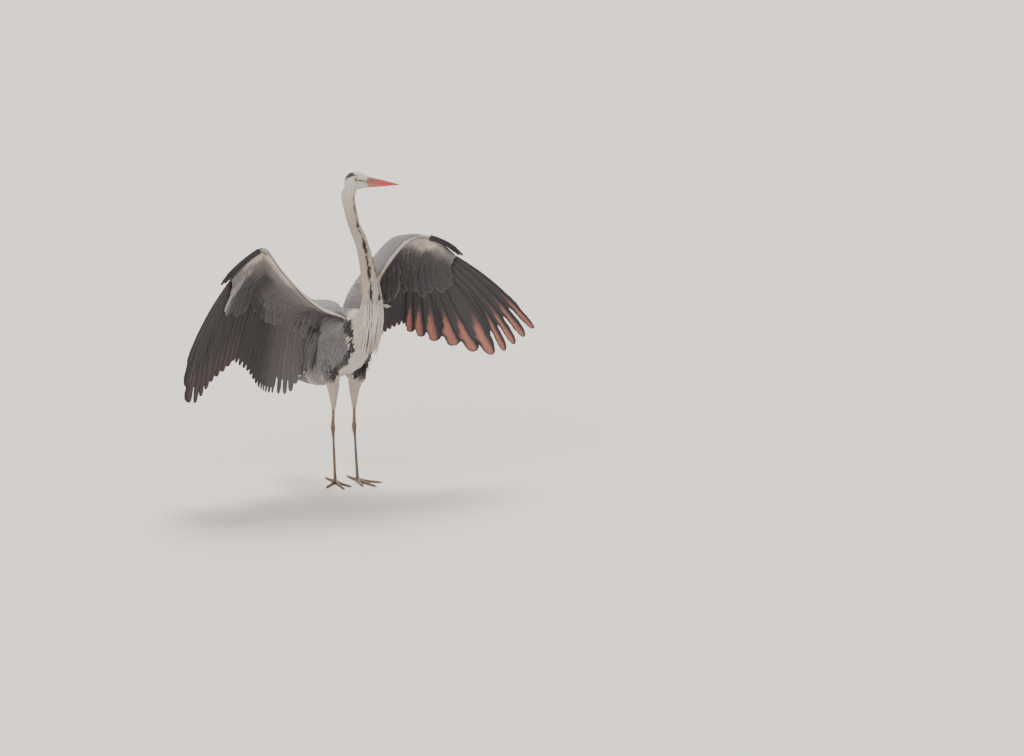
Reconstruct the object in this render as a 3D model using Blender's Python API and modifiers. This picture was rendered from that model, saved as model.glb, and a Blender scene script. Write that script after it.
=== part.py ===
"""Grey heron, life size, standing with both wings half open like a cloak.

The bird faces -Y and its left side is +X. Points are (x, y, z) in millimetres above the ground
under its feet, and are turned into metres as each mesh is made. At the end the whole bird is
moved so that the middle of its bounding box stands on the world's origin.
"""

import math

import bmesh
import bpy
import numpy as np
from mathutils import Matrix

# ------------------------------------------------------------------ driving dimensions, in mm
MM = 0.001                  # one millimetre in metres
GAP = 0.3                   # clear space where two parts meet
SHEET_GAP = 0.5             # the same, round a thin sharp edge
CULMEN = 108.0              # bill, from the forehead's feathers to the tip
TARSUS_TOP = 158.0          # height of the ankle joint
FEATHERING_END = 212.0      # height where the thigh's feathers stop on the bare leg
MIDDLE_TOE = 84.0
HIND_TOE = 58.0
SIDE_TOE = 66.0
VANE = 1.0                  # thickness of a flight feather's solid
PLUME = 3.0                 # thickness of a layer of body plumes

SIDES = {"left": 1, "right": -1}

# Head: centre between the eyes, how far it is turned to the bird's left, and its upward tilt.
HEAD_CENTRE = (29.3, -51.6, 873.0)
HEAD_YAW = math.radians(26.0)
HEAD_PITCH = math.radians(4.0)
EYE_RADIUS = 6.8
EYE_SIDE = 12.4             # from the head's middle plane to the centre of an eyeball
# Sections of the head: forward of the eyes, height of the middle, half width, half height.
HEAD = [
    (-53, -16, 6, 9), (-49, -13, 12, 18), (-41, -9, 16.5, 23), (-28, -6, 19, 26),
    (-12, -4.5, 19.3, 26), (0, -3.4, 18.2, 23.8), (13, -4.4, 15.6, 20.6), (25, -5.6, 12.2, 17.2),
    (34, -6.4, 9.9, 14.6),
]
BILL_BASE = 34.0            # forward of the eyes
BILL_TIP_DROP = -8.0        # height of the bill's tip against the eyes
BILL_BASE_WIDTH = 9.0       # half width
UPPER_DEPTH = 15.0
LOWER_DEPTH = 13.0
MOUTH_LINE = -7.4           # height of the cut between the mandibles at the bill's base

# Neck: centre, half width, half depth, from inside the head down into the chest.
NECK = [
    (19, -30, 856, 15, 17), (8, -18, 828, 19.5, 21.5), (9, -21, 798, 18.5, 20.5),
    (18.5, -35, 738, 16.4, 18.5), (27.5, -45, 711, 18, 20), (32.5, -60, 681, 18.3, 20.5),
    (33.5, -75, 656, 19.5, 22), (34, -105, 597, 23.7, 27), (31, -128, 541, 28, 33),
    (23, -128, 494, 36, 42), (12, -98, 448, 44, 52),
]
NECK_CUTS = {"neck_upper": (0.0, 3.0), "neck_middle": (3.0, 6.5), "neck_lower": (6.5, 10.0)}

# Trunk: centre of each section (x, y, z), half width, half depth across the body's axis.
TRUNK = [
    (11, -130, 452, 22, 28), (10, -118, 450, 40, 50), (8, -95, 444, 54, 68),
    (5, -60, 430, 64, 80), (2, -15, 406, 67.5, 85), (0, 35, 380, 66, 81),
    (0, 85, 349, 57, 71), (0, 130, 315, 46, 58), (0, 172, 284, 36, 43),
    (0, 208, 264, 26, 23), (0, 228, 258, 18, 10),
]
TAIL_ROOT = (0, 196, 270)
TAIL_TIP = (0, 302, 238)
TAIL_HALF_ROOT = 24.0
TAIL_HALF_TIP = 43.0
RECTRICES = 12

# Legs: the feathered thigh's centre line, the ankle and the foot's hub, for each side.
LEGS = {
    "left": {
        "thigh": [(46, -4, 348, 25, 31), (42, 2, 312, 24, 28), (37, 7, 276, 17.5, 20),
                  (36, 8, 245, 11, 12.5), (36, 8, FEATHERING_END, 6.6, 7.2)],
        "ankle": (36, 9, TARSUS_TOP), "foot": (38, -8, 8), "toe_yaw": 10,
    },
    "right": {
        "thigh": [(-40, 0, 348, 25, 31), (-36, 5, 312, 24, 28), (-28, 11, 276, 17.5, 20),
                  (-26, 12, 245, 11, 12.5), (-26, 12, FEATHERING_END, 6.6, 7.2)],
        "ankle": (-27, 14, TARSUS_TOP), "foot": (-28, -2, 8), "toe_yaw": -8,
    },
}

# Wings: leading edge, highest line of the arched surface, and the edge of the coverts, at
# eight stations: in the trunk, shoulder, inner arm, elbow, forearm, wrist, hand, end of hand.
# Then the tips of some numbered feathers, between which the other tips lie on a smooth curve,
# how far the first and last primary stay joined to their neighbours, the tip of the alula, and
# the middle of the outermost primary's leading edge.
STATION_IN_TRUNK, STATION_SHOULDER, STATION_ELBOW, STATION_WRIST, STATION_HAND = 0, 1, 3, 5, 7
WINGS = {
    "left": {
        "lead": [(18, -80, 470), (48, -92, 505), (84, -56, 575), (137, -28, 627),
                 (191, -5, 664), (246, 2, 681), (300, 4, 657), (350, 5, 617)],
        "crest": [(12, -5, 485), (34, 4, 534), (80, 24, 582), (135, 24, 638),
                  (182, 15, 672), (240, 9, 682), (296, 8, 659), (347, 8, 615)],
        "covert": [(22, 85, 405), (64, 105, 455), (98, 120, 490), (135, 112, 525),
                   (180, 95, 555), (232, 75, 580), (284, 55, 576), (336, 34, 560)],
        "primary": {1: (247, 93, 390), 3: (305, 50, 367), 4: (363, 30, 355), 6: (460, -6, 326),
                    8: (526, -8, 350), 10: (588, -6, 390)},
        "secondary": {1: (236, 112, 411), 3: (212, 124, 402), 5: (188, 134, 388),
                      8: (164, 141, 362), 11: (146, 141, 325), 13: (134, 138, 288),
                      16: (120, 132, 248), 18: (100, 124, 275), 20: (76, 116, 330)},
        "slots": (0.91, 0.62), "alula": (365, -9, 620), "front": (479, -1, 514),
    },
    "right": {
        "lead": [(-18, -80, 470), (-48, -90, 492), (-95, -77, 510), (-150, -57, 558),
                 (-205, -30, 629), (-246, -12, 687), (-291, -4, 661), (-344, 0, 609)],
        "crest": [(-12, -5, 485), (-45, -15, 518), (-97, -12, 522), (-150, -6, 556),
                  (-201, -2, 622), (-243, -4, 685), (-288, 0, 660), (-341, 3, 607)],
        "covert": [(-22, 85, 405), (-66, 92, 440), (-110, 105, 455), (-152, 112, 475),
                   (-192, 105, 505), (-232, 88, 552), (-281, 64, 560), (-331, 38, 546)],
        "primary": {1: (-300, 92, 356), 3: (-337, 82, 330), 5: (-376, 72, 306),
                    7: (-409, 62, 270), 9: (-449, 53, 257), 10: (-462, 48, 306)},
        "secondary": {1: (-289, 95, 349), 4: (-253, 97, 322), 8: (-219, 96, 273),
                      13: (-179, 90, 253), 16: (-127, 82, 255), 18: (-101, 82, 300),
                      20: (-76, 92, 345)},
        "slots": (0.94, 0.80), "alula": (-377, -6, 598), "front": (-431, 26, 453),
    },
}
ARM_DEPTH = [8, 12, 12, 11, 9.5, 8.5, 7, 4.5]    # half thickness at the eight stations
PRIMARIES, SECONDARIES, TERTIALS = 10, 13, 7
CREST_SHARES = (0.12, 0.45)  # least and most of a section's length before its highest point

# Chest plumes: a bib hung round the front of the neck's base.
BIB_CENTRE = (26, -129, 514)
BIB_RADIUS = 39.5
BIB_SPREAD = math.radians(54.0)
BIB_TIP = (17, -143, 366)
BIB_PLUMES = 7

COLOURS = {
    "head": (0.80, 0.80, 0.78), "bill": (0.72, 0.36, 0.24), "eye": (0.85, 0.62, 0.08),
    "neck": (0.68, 0.66, 0.63), "grey": (0.42, 0.45, 0.49), "dark": (0.06, 0.065, 0.075),
    "pale": (0.72, 0.71, 0.69), "leg": (0.34, 0.27, 0.20),
}


# ------------------------------------------------------------------ points and curves
def unit(vector):
    return vector / np.linalg.norm(vector, axis=-1, keepdims=True)


def smooth(keys, values, at):
    """Values on a smooth (cubic Hermite) curve through values[i] at keys[i]."""
    keys = np.asarray(keys, float)
    values = np.asarray(values, float)
    slopes = np.gradient(values, keys, axis=0)
    at = np.atleast_1d(np.asarray(at, float))
    i = np.clip(np.searchsorted(keys, at, side="right") - 1, 0, len(keys) - 2)
    span = (keys[i + 1] - keys[i])[:, None]
    t = (at - keys[i])[:, None] / span
    return ((2 * t**3 - 3 * t**2 + 1) * values[i] + (t**3 - 2 * t**2 + t) * span * slopes[i]
            + (3 * t**2 - 2 * t**3) * values[i + 1] + (t**3 - t**2) * span * slopes[i + 1])


def bezier(start, control, end, t):
    t = np.asarray(t, float)[..., None]
    return (1 - t)**2 * start + 2 * t * (1 - t) * control + t**2 * end


def ellipse(centre, side, up, half_side, half_up, count):
    """A closed ring of points round a centre, in the plane of two unit vectors."""
    a = np.linspace(0, 2 * math.pi, count, endpoint=False)[:, None]
    return centre + np.cos(a) * half_side * side + np.sin(a) * half_up * up


# ------------------------------------------------------------------ objects
def new_collection(name):
    collection = bpy.data.collections.new(name)
    bpy.context.scene.collection.children.link(collection)
    return collection


def material(key):
    found = bpy.data.materials.get(key)
    if found:
        return found
    made = bpy.data.materials.new(key)
    made.use_nodes = True
    shader = made.node_tree.nodes["Principled BSDF"]
    shader.inputs["Base Color"].default_value = (*COLOURS[key], 1)
    shader.inputs["Roughness"].default_value = 0.35 if key in ("bill", "eye") else 0.8
    shader.inputs["Metallic"].default_value = 0.0
    made.diffuse_color = (*COLOURS[key], 1)
    return made


def finish(name, bm, colour, collection="grey_heron"):
    """Turn a bmesh in millimetres into a named object in metres."""
    bmesh.ops.scale(bm, vec=(MM, MM, MM), verts=bm.verts)
    bmesh.ops.recalc_face_normals(bm, faces=bm.faces)
    mesh = bpy.data.meshes.new(name)
    bm.to_mesh(mesh)
    bm.free()
    mesh.shade_smooth()
    mesh.set_sharp_from_angle(angle=math.radians(40))
    mesh.materials.append(material(colour))
    obj = bpy.data.objects.new(name, mesh)
    bpy.data.collections[collection].objects.link(obj)
    return obj


def loft(name, rings, colour, thin=False):
    """A closed body through rings that differ in size and shape.

    Its ends are flat faces, or on a thin arched body strips between the two sides.
    """
    bm = bmesh.new()
    loops = [[bm.verts.new(point) for point in ring] for ring in rings]
    for low, high in zip(loops, loops[1:]):
        for i in range(len(low)):
            j = (i + 1) % len(low)
            bm.faces.new((low[i], low[j], high[j], high[i]))
    for loop in (loops[0], loops[-1]):
        if not thin:
            bm.faces.new(loop)
            continue
        for near in range(len(loop) // 2 - 1):
            far = len(loop) - 1 - near
            bm.faces.new((loop[near], loop[near + 1], loop[far - 1]))
            bm.faces.new((loop[near], loop[far - 1], loop[far]))
    return finish(name, bm, colour)


def body_rings(sections, at, up_hint, count):
    """Elliptical rings across a smooth path; each section is x, y, z, half side, half up."""
    keys = np.arange(len(sections))
    table = smooth(keys, sections, at)
    ahead = smooth(keys, sections, np.clip(np.asarray(at) + 0.05, 0, keys[-1]))[:, :3]
    behind = smooth(keys, sections, np.clip(np.asarray(at) - 0.05, 0, keys[-1]))[:, :3]
    rings = []
    for row, direction in zip(table, unit(ahead - behind)):
        side = unit(np.cross(direction, up_hint))
        up = np.cross(side, direction)
        rings.append(ellipse(row[:3], side, up, row[3], row[4], count))
    return rings


def tube(name, points, radii, colour, collection="grey_heron", smoothness=2):
    """A round limb: a curve with a radius at each point, made a closed mesh."""
    curve = bpy.data.curves.new(name, "CURVE")
    curve.dimensions = "3D"
    curve.bevel_depth = MM
    curve.bevel_resolution = smoothness
    curve.use_fill_caps = True
    spline = curve.splines.new("POLY")
    spline.points.add(len(points) - 1)
    for knot, place, radius in zip(spline.points, np.asarray(points, float) * MM, radii):
        knot.co = (*place, 1)
        knot.radius = radius
    guide = bpy.data.objects.new(name + "_guide", curve)
    bpy.data.collections[collection].objects.link(guide)
    mesh = evaluated_mesh(guide)
    bm = bmesh.new()
    bm.from_mesh(mesh)
    bmesh.ops.remove_doubles(bm, verts=bm.verts, dist=1e-6)
    bmesh.ops.scale(bm, vec=(1 / MM,) * 3, verts=bm.verts)
    bpy.data.objects.remove(guide)
    bpy.data.meshes.remove(mesh)
    return finish(name, bm, colour, collection)


def evaluated_mesh(obj):
    graph = bpy.context.evaluated_depsgraph_get()
    graph.update()
    return bpy.data.meshes.new_from_object(obj.evaluated_get(graph))


def boolean(obj, other, operation):
    modifier = obj.modifiers.new(operation.lower() + "_" + other.name, "BOOLEAN")
    modifier.operation = operation
    modifier.object = other
    modifier.solver = "EXACT"


def as_cutter(obj):
    obj.hide_render = True
    obj.display_type = "WIRE"


def keep_clear(obj, *neighbours, gap=GAP):
    """Cut an object back from the surface of each neighbour."""
    for neighbour in neighbours:
        mesh = evaluated_mesh(neighbour)
        bm = bmesh.new()
        bm.from_mesh(mesh)
        bm.normal_update()
        moves = [v.normal * min(v.calc_shell_factor(), 4) * gap * MM for v in bm.verts]
        for vert, move in zip(bm.verts, moves):
            vert.co += move
        bm.to_mesh(mesh)
        bm.free()
        cutter = bpy.data.objects.new("clear_" + neighbour.name + "_for_" + obj.name, mesh)
        bpy.data.collections["cutters"].objects.link(cutter)
        as_cutter(cutter)
        boolean(obj, cutter, "DIFFERENCE")


# ------------------------------------------------------------------ feathers
def feather_sheet(name, roots, controls, tips, joined, rows, colour, thick=VANE, camber=1.4):
    """A row of overlapping feathers as one sheet, with slots between their free tips.

    roots and controls have one point for each border between feathers, tips one for each
    feather, and joined says how far along each border the two neighbours stay together.
    """
    ends = (tips[:-1] + tips[1:]) / 2
    first_end = tips[0] + (tips[0] - tips[1]) * 0.4
    last_end = tips[-1] + (tips[-1] - tips[-2]) * 0.25
    ends = np.vstack([first_end, ends, last_end])
    rows = np.asarray(rows)
    bm = bmesh.new()
    for i, tip in enumerate(tips):
        spine = bezier((roots[i] + roots[i + 1]) / 2, (controls[i] + controls[i + 1]) / 2,
                       tip, rows)
        edges = []
        for j in (i, i + 1):
            border = bezier(roots[j], controls[j], ends[j], rows)
            free = np.clip((rows - joined[j]) / (1 - joined[j]), 0, 1)
            share = (1 - 0.14 * np.minimum(free * 3, 1)) * np.sqrt(1 - free**4.5)
            edges.append(spine + (border - spine) * share[:, None])
        across = unit(edges[1] - edges[0] + 1e-9)
        along = unit(np.gradient(spine, axis=0))
        lift = np.cross(across, along) * camber * np.sin(math.pi * np.clip(rows, 0, 1))[:, None]
        grid = np.stack([edges[0], spine + lift, edges[1]], axis=1)
        made = bmesh.ops.create_grid(bm, x_segments=2, y_segments=len(rows) - 1, size=1)
        for vert, place in zip(made["verts"], grid.reshape(-1, 3)):
            vert.co = place
    bmesh.ops.remove_doubles(bm, verts=bm.verts, dist=1e-3)
    obj = finish(name, bm, colour)
    solid = obj.modifiers.new("thickness", "SOLIDIFY")
    solid.thickness = thick * MM
    solid.offset = 0
    return obj


# ------------------------------------------------------------------ head
def head_frame():
    """The head's centre and its forward, left and up directions."""
    cos_yaw, sin_yaw = math.cos(HEAD_YAW), math.sin(HEAD_YAW)
    left = np.array([cos_yaw, sin_yaw, 0])
    level = np.array([sin_yaw, -cos_yaw, 0])
    forward = level * math.cos(HEAD_PITCH) + np.array([0, 0, math.sin(HEAD_PITCH)])
    return np.array(HEAD_CENTRE), forward, left, np.cross(forward, -left) * -1


def in_head(forward, left, up):
    centre, f_dir, l_dir, u_dir = head_frame()
    return centre + forward * f_dir + left * l_dir + up * u_dir


def make_head():
    _, _, left, up = head_frame()
    at = np.linspace(0, len(HEAD) - 1, 11)
    rows = smooth(np.arange(len(HEAD)), HEAD, at)
    rings = [ellipse(in_head(f, 0, u), left, up, w, h, 16) for f, u, w, h in rows]
    return loft("head", rings, "head")


def make_eyes(head):
    eyes = []
    for side, sign in SIDES.items():
        bm = bmesh.new()
        place = Matrix.Translation(in_head(0, sign * EYE_SIDE, 0))
        bmesh.ops.create_uvsphere(bm, u_segments=12, v_segments=7, radius=EYE_RADIUS,
                                  matrix=place)
        eyes.append(finish("eye_" + side, bm, "eye"))
    keep_clear(head, *eyes)
    return eyes


def make_bill():
    """Two mandibles as tapering lofts on either side of the mouth's level cut."""
    _, _, left, up = head_frame()
    share = np.array([0, 0.15, 0.35, 0.6, 0.8, 0.93, 1.0])
    taper = 1 - share**1.25 * 0.97
    line = MOUTH_LINE + (BILL_TIP_DROP - MOUTH_LINE) * share
    for name, sign, depth in (("bill_upper", 1, UPPER_DEPTH), ("bill_lower", -1, LOWER_DEPTH)):
        arc = np.linspace(0, math.pi, 7)[:, None]
        rings = []
        for s, t, z in zip(share, taper, line):
            centre = in_head(BILL_BASE + GAP + s * CULMEN, 0, z + sign * GAP / 2)
            width = BILL_BASE_WIDTH * t
            rings.append(centre + np.cos(arc) * width * left
                         + np.sin(arc)**0.9 * depth * t * sign * up)
        loft(name, rings, "bill")


# ------------------------------------------------------------------ neck and trunk
def make_neck(head):
    forward = np.array([0, -1, 0])
    lengths = {}
    for name, (start, end) in NECK_CUTS.items():
        inset = 0.006                       # half the cut between two lengths, in sections
        first = start + (inset if start > 0 else 0)
        last = end - (inset if end < len(NECK) - 1 else 0)
        at = np.linspace(first, last, 7)
        lengths[name] = loft(name, body_rings(NECK, at, forward, 16), "neck")
    keep_clear(lengths["neck_upper"], head)
    return lengths


def make_trunk():
    at = np.linspace(0, len(TRUNK) - 1, 14)
    return loft("trunk", body_rings(TRUNK, at, np.array([0, 0, 1]), 20), "grey")


def make_tail(trunk):
    root, tip = np.array(TAIL_ROOT, float), np.array(TAIL_TIP, float)
    across = np.linspace(-1, 1, RECTRICES + 1)
    roots = root + np.outer(across, (TAIL_HALF_ROOT, 0, 0)) - np.outer(across**2, (0, 0, 3))
    mid = (across[:-1] + across[1:]) / 2
    tips = tip + np.outer(mid, (TAIL_HALF_TIP, 0, 0)) + np.outer(mid**2, (0, -7, -4))
    controls = roots + (tip - root) * 0.5 + np.outer(across, (8, 0, 0))
    joined = np.full(RECTRICES + 1, 0.9)
    tail = feather_sheet("tail", roots, controls, tips, joined, (0, 0.9, 1),
                         "grey", thick=PLUME, camber=0)
    keep_clear(tail, trunk, gap=SHEET_GAP)
    return tail


def make_bib(trunk, neck):
    angles = np.linspace(-BIB_SPREAD, BIB_SPREAD, BIB_PLUMES + 1)
    around = np.stack([np.sin(angles), -np.cos(angles), 0 * angles], axis=1)
    roots = np.array(BIB_CENTRE) + BIB_RADIUS * around
    mid = (angles[:-1] + angles[1:]) / 2
    tips = np.array(BIB_TIP) + np.stack([30 * np.sin(mid), 24 * (1 - np.cos(mid)),
                                         34 * np.sin(mid)**2], axis=1)
    controls = roots * (1, 1, 0) + (-3, -8, 455)
    joined = np.full(BIB_PLUMES + 1, 0.62)
    bib = feather_sheet("breast_plumes", roots, controls, tips, joined,
                        (0, 0.3, 0.62, 0.82, 1), "pale", thick=PLUME)
    keep_clear(bib, trunk, neck, gap=SHEET_GAP)
    return bib


# ------------------------------------------------------------------ legs
def make_leg(side, trunk):
    leg = LEGS[side]
    forward = np.array([0, -1, 0])
    at = np.linspace(0, len(leg["thigh"]) - 1, 7)
    thigh = loft("thigh_" + side, body_rings(leg["thigh"], at, forward, 14), "pale")
    keep_clear(thigh, trunk)

    knee = np.array(leg["thigh"][-1][:3], float) - (0, 0, GAP)
    ankle, foot = np.array(leg["ankle"], float), np.array(leg["foot"], float)
    stops = [knee, knee + (ankle - knee) * 0.55, ankle + (0, 0, 9), ankle, ankle - (0, 0.6, 9)]
    stops += [ankle + (foot - ankle) * share for share in (0.14, 0.5, 0.86, 1.0)]
    shank = tube("shank_" + side, stops, (4.7, 4.4, 5.6, 7.2, 6.4, 4.6, 4.1, 4.5, 5.2), "leg")
    keep_clear(make_foot(side, foot), shank)


def toe_points(hub, yaw, length, claw):
    """A toe along the ground with three soft bends, then a claw that curves down."""
    ahead = np.array([math.sin(yaw), -math.cos(yaw), 0])
    reach = np.array([0, 0.22, 0.45, 0.7, 1.0]) * length
    heights = np.array([8.0, 5.0, 3.4, 3.0, 2.9])
    points = [hub * (1, 1, 0) + ahead * r + (0, 0, z) for r, z in zip(reach, heights)]
    points += [points[-1] + ahead * claw * 0.5 + (0, 0, 0.8), points[-1] + ahead * claw]
    points[-1][2] = 1.3
    return points


def make_foot(side, hub):
    """Three toes forward and one back, on a hub, with their soles cut flat at the ground."""
    bm = bmesh.new()
    squash = Matrix.Translation(hub) @ Matrix.Diagonal((7.5, 8.0, 6.0, 1))
    bmesh.ops.create_icosphere(bm, subdivisions=1, radius=1, matrix=squash)
    foot = finish("foot_" + side, bm, "leg")
    facing = math.radians(LEGS[side]["toe_yaw"])
    toes = (("middle", 0, MIDDLE_TOE, 11), ("outer", 36, SIDE_TOE, 10),
            ("inner", -22, SIDE_TOE, 10), ("hind", 172, HIND_TOE, 15))
    for label, spread, length, claw in toes:
        points = toe_points(hub, facing + math.radians(spread) * SIDES[side], length, claw)
        toe = tube("toe_" + label + "_" + side, points, (4.6, 4.4, 3.9, 3.7, 3.3, 2.0, 0.7),
                   "leg", "cutters", smoothness=1)
        as_cutter(toe)
        boolean(foot, toe, "UNION")
    bm = bmesh.new()
    below = Matrix.Translation((hub[0], hub[1], -20)) @ Matrix.Diagonal((300, 300, 40, 1))
    bmesh.ops.create_cube(bm, size=1, matrix=below)
    ground = finish("ground_" + side, bm, "leg", "cutters")
    as_cutter(ground)
    boolean(foot, ground, "DIFFERENCE")
    return foot


# ------------------------------------------------------------------ wings
def wing_midline(wing, station, share):
    """Points on the arched middle surface: share 0 at the leading edge, 1 at the coverts' edge."""
    keys = np.arange(len(wing["lead"]))
    lead, crest, covert = (smooth(keys, wing[line], station)[0]
                           for line in ("lead", "crest", "covert"))
    before, after = np.linalg.norm(crest - lead), np.linalg.norm(covert - crest)
    t = np.clip(before / (before + after), *CREST_SHARES)
    control = (crest - (1 - t)**2 * lead - t**2 * covert) / (2 * t * (1 - t))
    return bezier(lead, control, covert, share)


def wing_ring(wing, station):
    """A section of the wing's arm: a thin arched aerofoil from leading edge to coverts."""
    share = np.array([0, 0.03, 0.1, 0.22, 0.4, 0.65, 1.0])
    middle = wing_midline(wing, station, share)
    outer = wing_midline(wing, min(station + 0.1, STATION_HAND), share)
    inner = wing_midline(wing, max(station - 0.1, STATION_IN_TRUNK), share)
    chord = unit(np.gradient(middle, axis=0))
    normal = unit(np.cross(chord, outer - inner))
    normal *= np.sign(normal @ np.array([0, 0.6, 0.8]))[:, None]
    depth = np.interp(station, np.arange(len(ARM_DEPTH)), ARM_DEPTH)
    half = (1.0 + depth * 2.0 * np.sqrt(share) * (1 - share)**1.25)[:, None]
    return np.vstack([middle + normal * half, (middle - normal * half)[::-1]])


def covert_edge(wing, station):
    """The coverts' edge as straight runs between the sections that the arm is lofted through."""
    low = np.floor(station * 3 + 1e-9) / 3
    high = min(low + 1 / 3, STATION_HAND)
    share = 0 if high == low else (station - low) / (high - low)
    ends = [wing_midline(wing, s, np.array([0.97, 1.0])) for s in (low, high)]
    edge = ends[0][1] * (1 - share) + ends[1][1] * share
    run = unit(ends[0][1] - ends[0][0]) * (1 - share) + unit(ends[1][1] - ends[1][0]) * share
    return edge, unit(run)


def make_arm(side, trunk, neck):
    """Upper arm, forearm and hand, each lofted between its own joints."""
    wing = WINGS[side]
    parts = []
    for label, start, end in (("upper_arm", STATION_IN_TRUNK, STATION_ELBOW),
                              ("forearm", STATION_ELBOW, STATION_WRIST),
                              ("hand", STATION_WRIST, STATION_HAND)):
        stations = np.linspace(start, end, 3 * (end - start) + 1)
        rings = [wing_ring(wing, station) for station in stations]
        rings[0] = rings[0] + unit((rings[1] - rings[0]).mean(axis=0)) * GAP
        rings[-1] = rings[-1] + unit((rings[-2] - rings[-1]).mean(axis=0)) * GAP
        parts.append(loft("wing_" + label + "_" + side, rings, "grey", thin=True))
    keep_clear(parts[0], trunk, neck, gap=SHEET_GAP)
    return parts


def remige_roots(wing, stations):
    """Border points just past the coverts' edge, and the direction that the wing leaves in."""
    edges, runs = zip(*(covert_edge(wing, s) for s in stations))
    runs = np.array(runs)
    return np.array(edges) + runs * 3 * GAP, runs


def make_primaries(side, hand, forearm):
    """Ten primaries: six along the hand's rear edge and four round its end."""
    wing = WINGS[side]
    roots, runs = remige_roots(wing, np.linspace(STATION_WRIST + 0.01, STATION_HAND, 7))
    end = wing_midline(wing, STATION_HAND, np.array([1.0, 0.78, 0.55, 0.3, 0.0]))
    before = wing_midline(wing, STATION_HAND - 1, np.array([1.0, 0.78, 0.55, 0.3, 0.0]))
    outward = unit(end - before)
    roots = np.vstack([roots[:-1], end + outward * 6 * GAP])
    runs = np.vstack([runs[:-1], outward])
    numbers = np.arange(1, PRIMARIES + 1)
    tips = smooth(list(wing["primary"]), list(wing["primary"].values()), numbers)
    border_tips = np.vstack([tips[0], (tips[:-1] + tips[1:]) / 2, tips[-1]])
    reach = border_tips - roots
    length = np.linalg.norm(reach, axis=1, keepdims=True)
    controls = roots + unit(runs * 0.43 + unit(reach)) * length * 0.46
    front = 2 * np.array(wing["front"], float) - (roots[-1] + tips[-1]) / 2
    share = np.linspace(0, 1, PRIMARIES + 1)[:, None]**2
    controls = controls + share * (front - controls[-1])
    joined = np.linspace(*wing["slots"], PRIMARIES + 1)
    joined[-1] = 0.72
    rows = (0, 0.25, 0.5, 0.68, 0.82, 0.92, 1)
    sheet = feather_sheet("primaries_" + side, roots, controls, tips, joined, rows, "dark")
    keep_clear(sheet, hand, forearm, gap=SHEET_GAP)
    return sheet


def make_secondaries(side, arm, trunk, primaries):
    """Secondaries hung from the forearm, then the long tertials from the elbow inwards."""
    wing = WINGS[side]
    total = SECONDARIES + TERTIALS
    stations = np.linspace(STATION_WRIST - 0.01, STATION_SHOULDER - 0.2, total + 1)
    roots, runs = remige_roots(wing, stations)
    tips = smooth(list(wing["secondary"]), list(wing["secondary"].values()),
                  np.arange(1, total + 1))
    border_tips = np.vstack([tips[0], (tips[:-1] + tips[1:]) / 2, tips[-1]])
    reach = border_tips - roots
    length = np.linalg.norm(reach, axis=1, keepdims=True)
    controls = roots + unit(runs * 0.55 + unit(reach)) * length * 0.45
    rows = (0, 0.4, 0.78, 0.92, 1)
    made = [primaries]
    for label, first, last, slot in (("secondaries", 0, SECONDARIES, 0.9),
                                     ("tertials", SECONDARIES, total, 0.78)):
        pick = slice(first, last + 1)
        joined = np.full(last - first + 1, slot)
        sheet = feather_sheet(label + "_" + side, roots[pick], controls[pick],
                              tips[first:last], joined, rows, "dark")
        keep_clear(sheet, *arm, trunk, *made, gap=SHEET_GAP)
        made.append(sheet)
    return made


def make_alula(side, hand, forearm, primaries):
    """Three short stiff feathers that lie along the front of the hand."""
    wing = WINGS[side]
    lead = smooth(np.arange(8), wing["lead"], (STATION_WRIST + 0.35, STATION_WRIST + 0.8))
    toward = unit(lead[1] - lead[0])
    front = np.array([0, -1, 0.2])
    upward = unit(np.cross(toward, front))
    upward *= np.sign(upward[2])
    roots = lead[0] + front * 5.5 + np.outer((-7, -2, 3, 8), upward)
    tips = np.array(wing["alula"], float) + np.outer((-4, 0, 4), upward) \
        - np.outer((12, 0, 9), toward)
    controls = (roots + np.vstack([tips[0], tips])) / 2 + front * 4 + upward * 13
    alula = feather_sheet("alula_" + side, roots, controls, tips, (0.8, 0.8, 0.8, 0.8),
                          (0, 0.35, 0.65, 0.88, 1), "dark", thick=1.6)
    keep_clear(alula, hand, forearm, primaries, gap=SHEET_GAP)
    return alula


def make_wing(side, trunk, neck):
    arm = make_arm(side, trunk, neck)
    primaries = make_primaries(side, arm[2], arm[1])
    make_alula(side, arm[2], arm[1], primaries)
    make_secondaries(side, arm, trunk, primaries)


# ------------------------------------------------------------------ the whole bird
def stand_on_origin():
    """Hang every object on one empty, so that the bounding box's base is centred on the origin."""
    corners = []
    for obj in bpy.data.collections["grey_heron"].objects:
        mesh = evaluated_mesh(obj)
        points = np.empty(len(mesh.vertices) * 3)
        mesh.vertices.foreach_get("co", points)
        corners += [points.reshape(-1, 3).min(axis=0), points.reshape(-1, 3).max(axis=0)]
        bpy.data.meshes.remove(mesh)
    low, high = np.min(corners, axis=0), np.max(corners, axis=0)
    base = bpy.data.objects.new("heron_base", None)
    base.location = (-(low[0] + high[0]) / 2, -(low[1] + high[1]) / 2, -low[2])
    for name in ("grey_heron", "cutters"):
        for obj in bpy.data.collections[name].objects:
            obj.parent = base
    bpy.data.collections["grey_heron"].objects.link(base)


def main():
    for obj in list(bpy.data.objects):
        bpy.data.objects.remove(obj)
    new_collection("grey_heron")
    new_collection("cutters")
    head = make_head()
    make_eyes(head)
    make_bill()
    trunk = make_trunk()
    neck = make_neck(head)
    keep_clear(neck["neck_lower"], trunk)
    make_tail(trunk)
    make_bib(trunk, neck["neck_lower"])
    for side in SIDES:
        make_leg(side, trunk)
        make_wing(side, trunk, neck["neck_lower"])
    stand_on_origin()


main()
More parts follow.
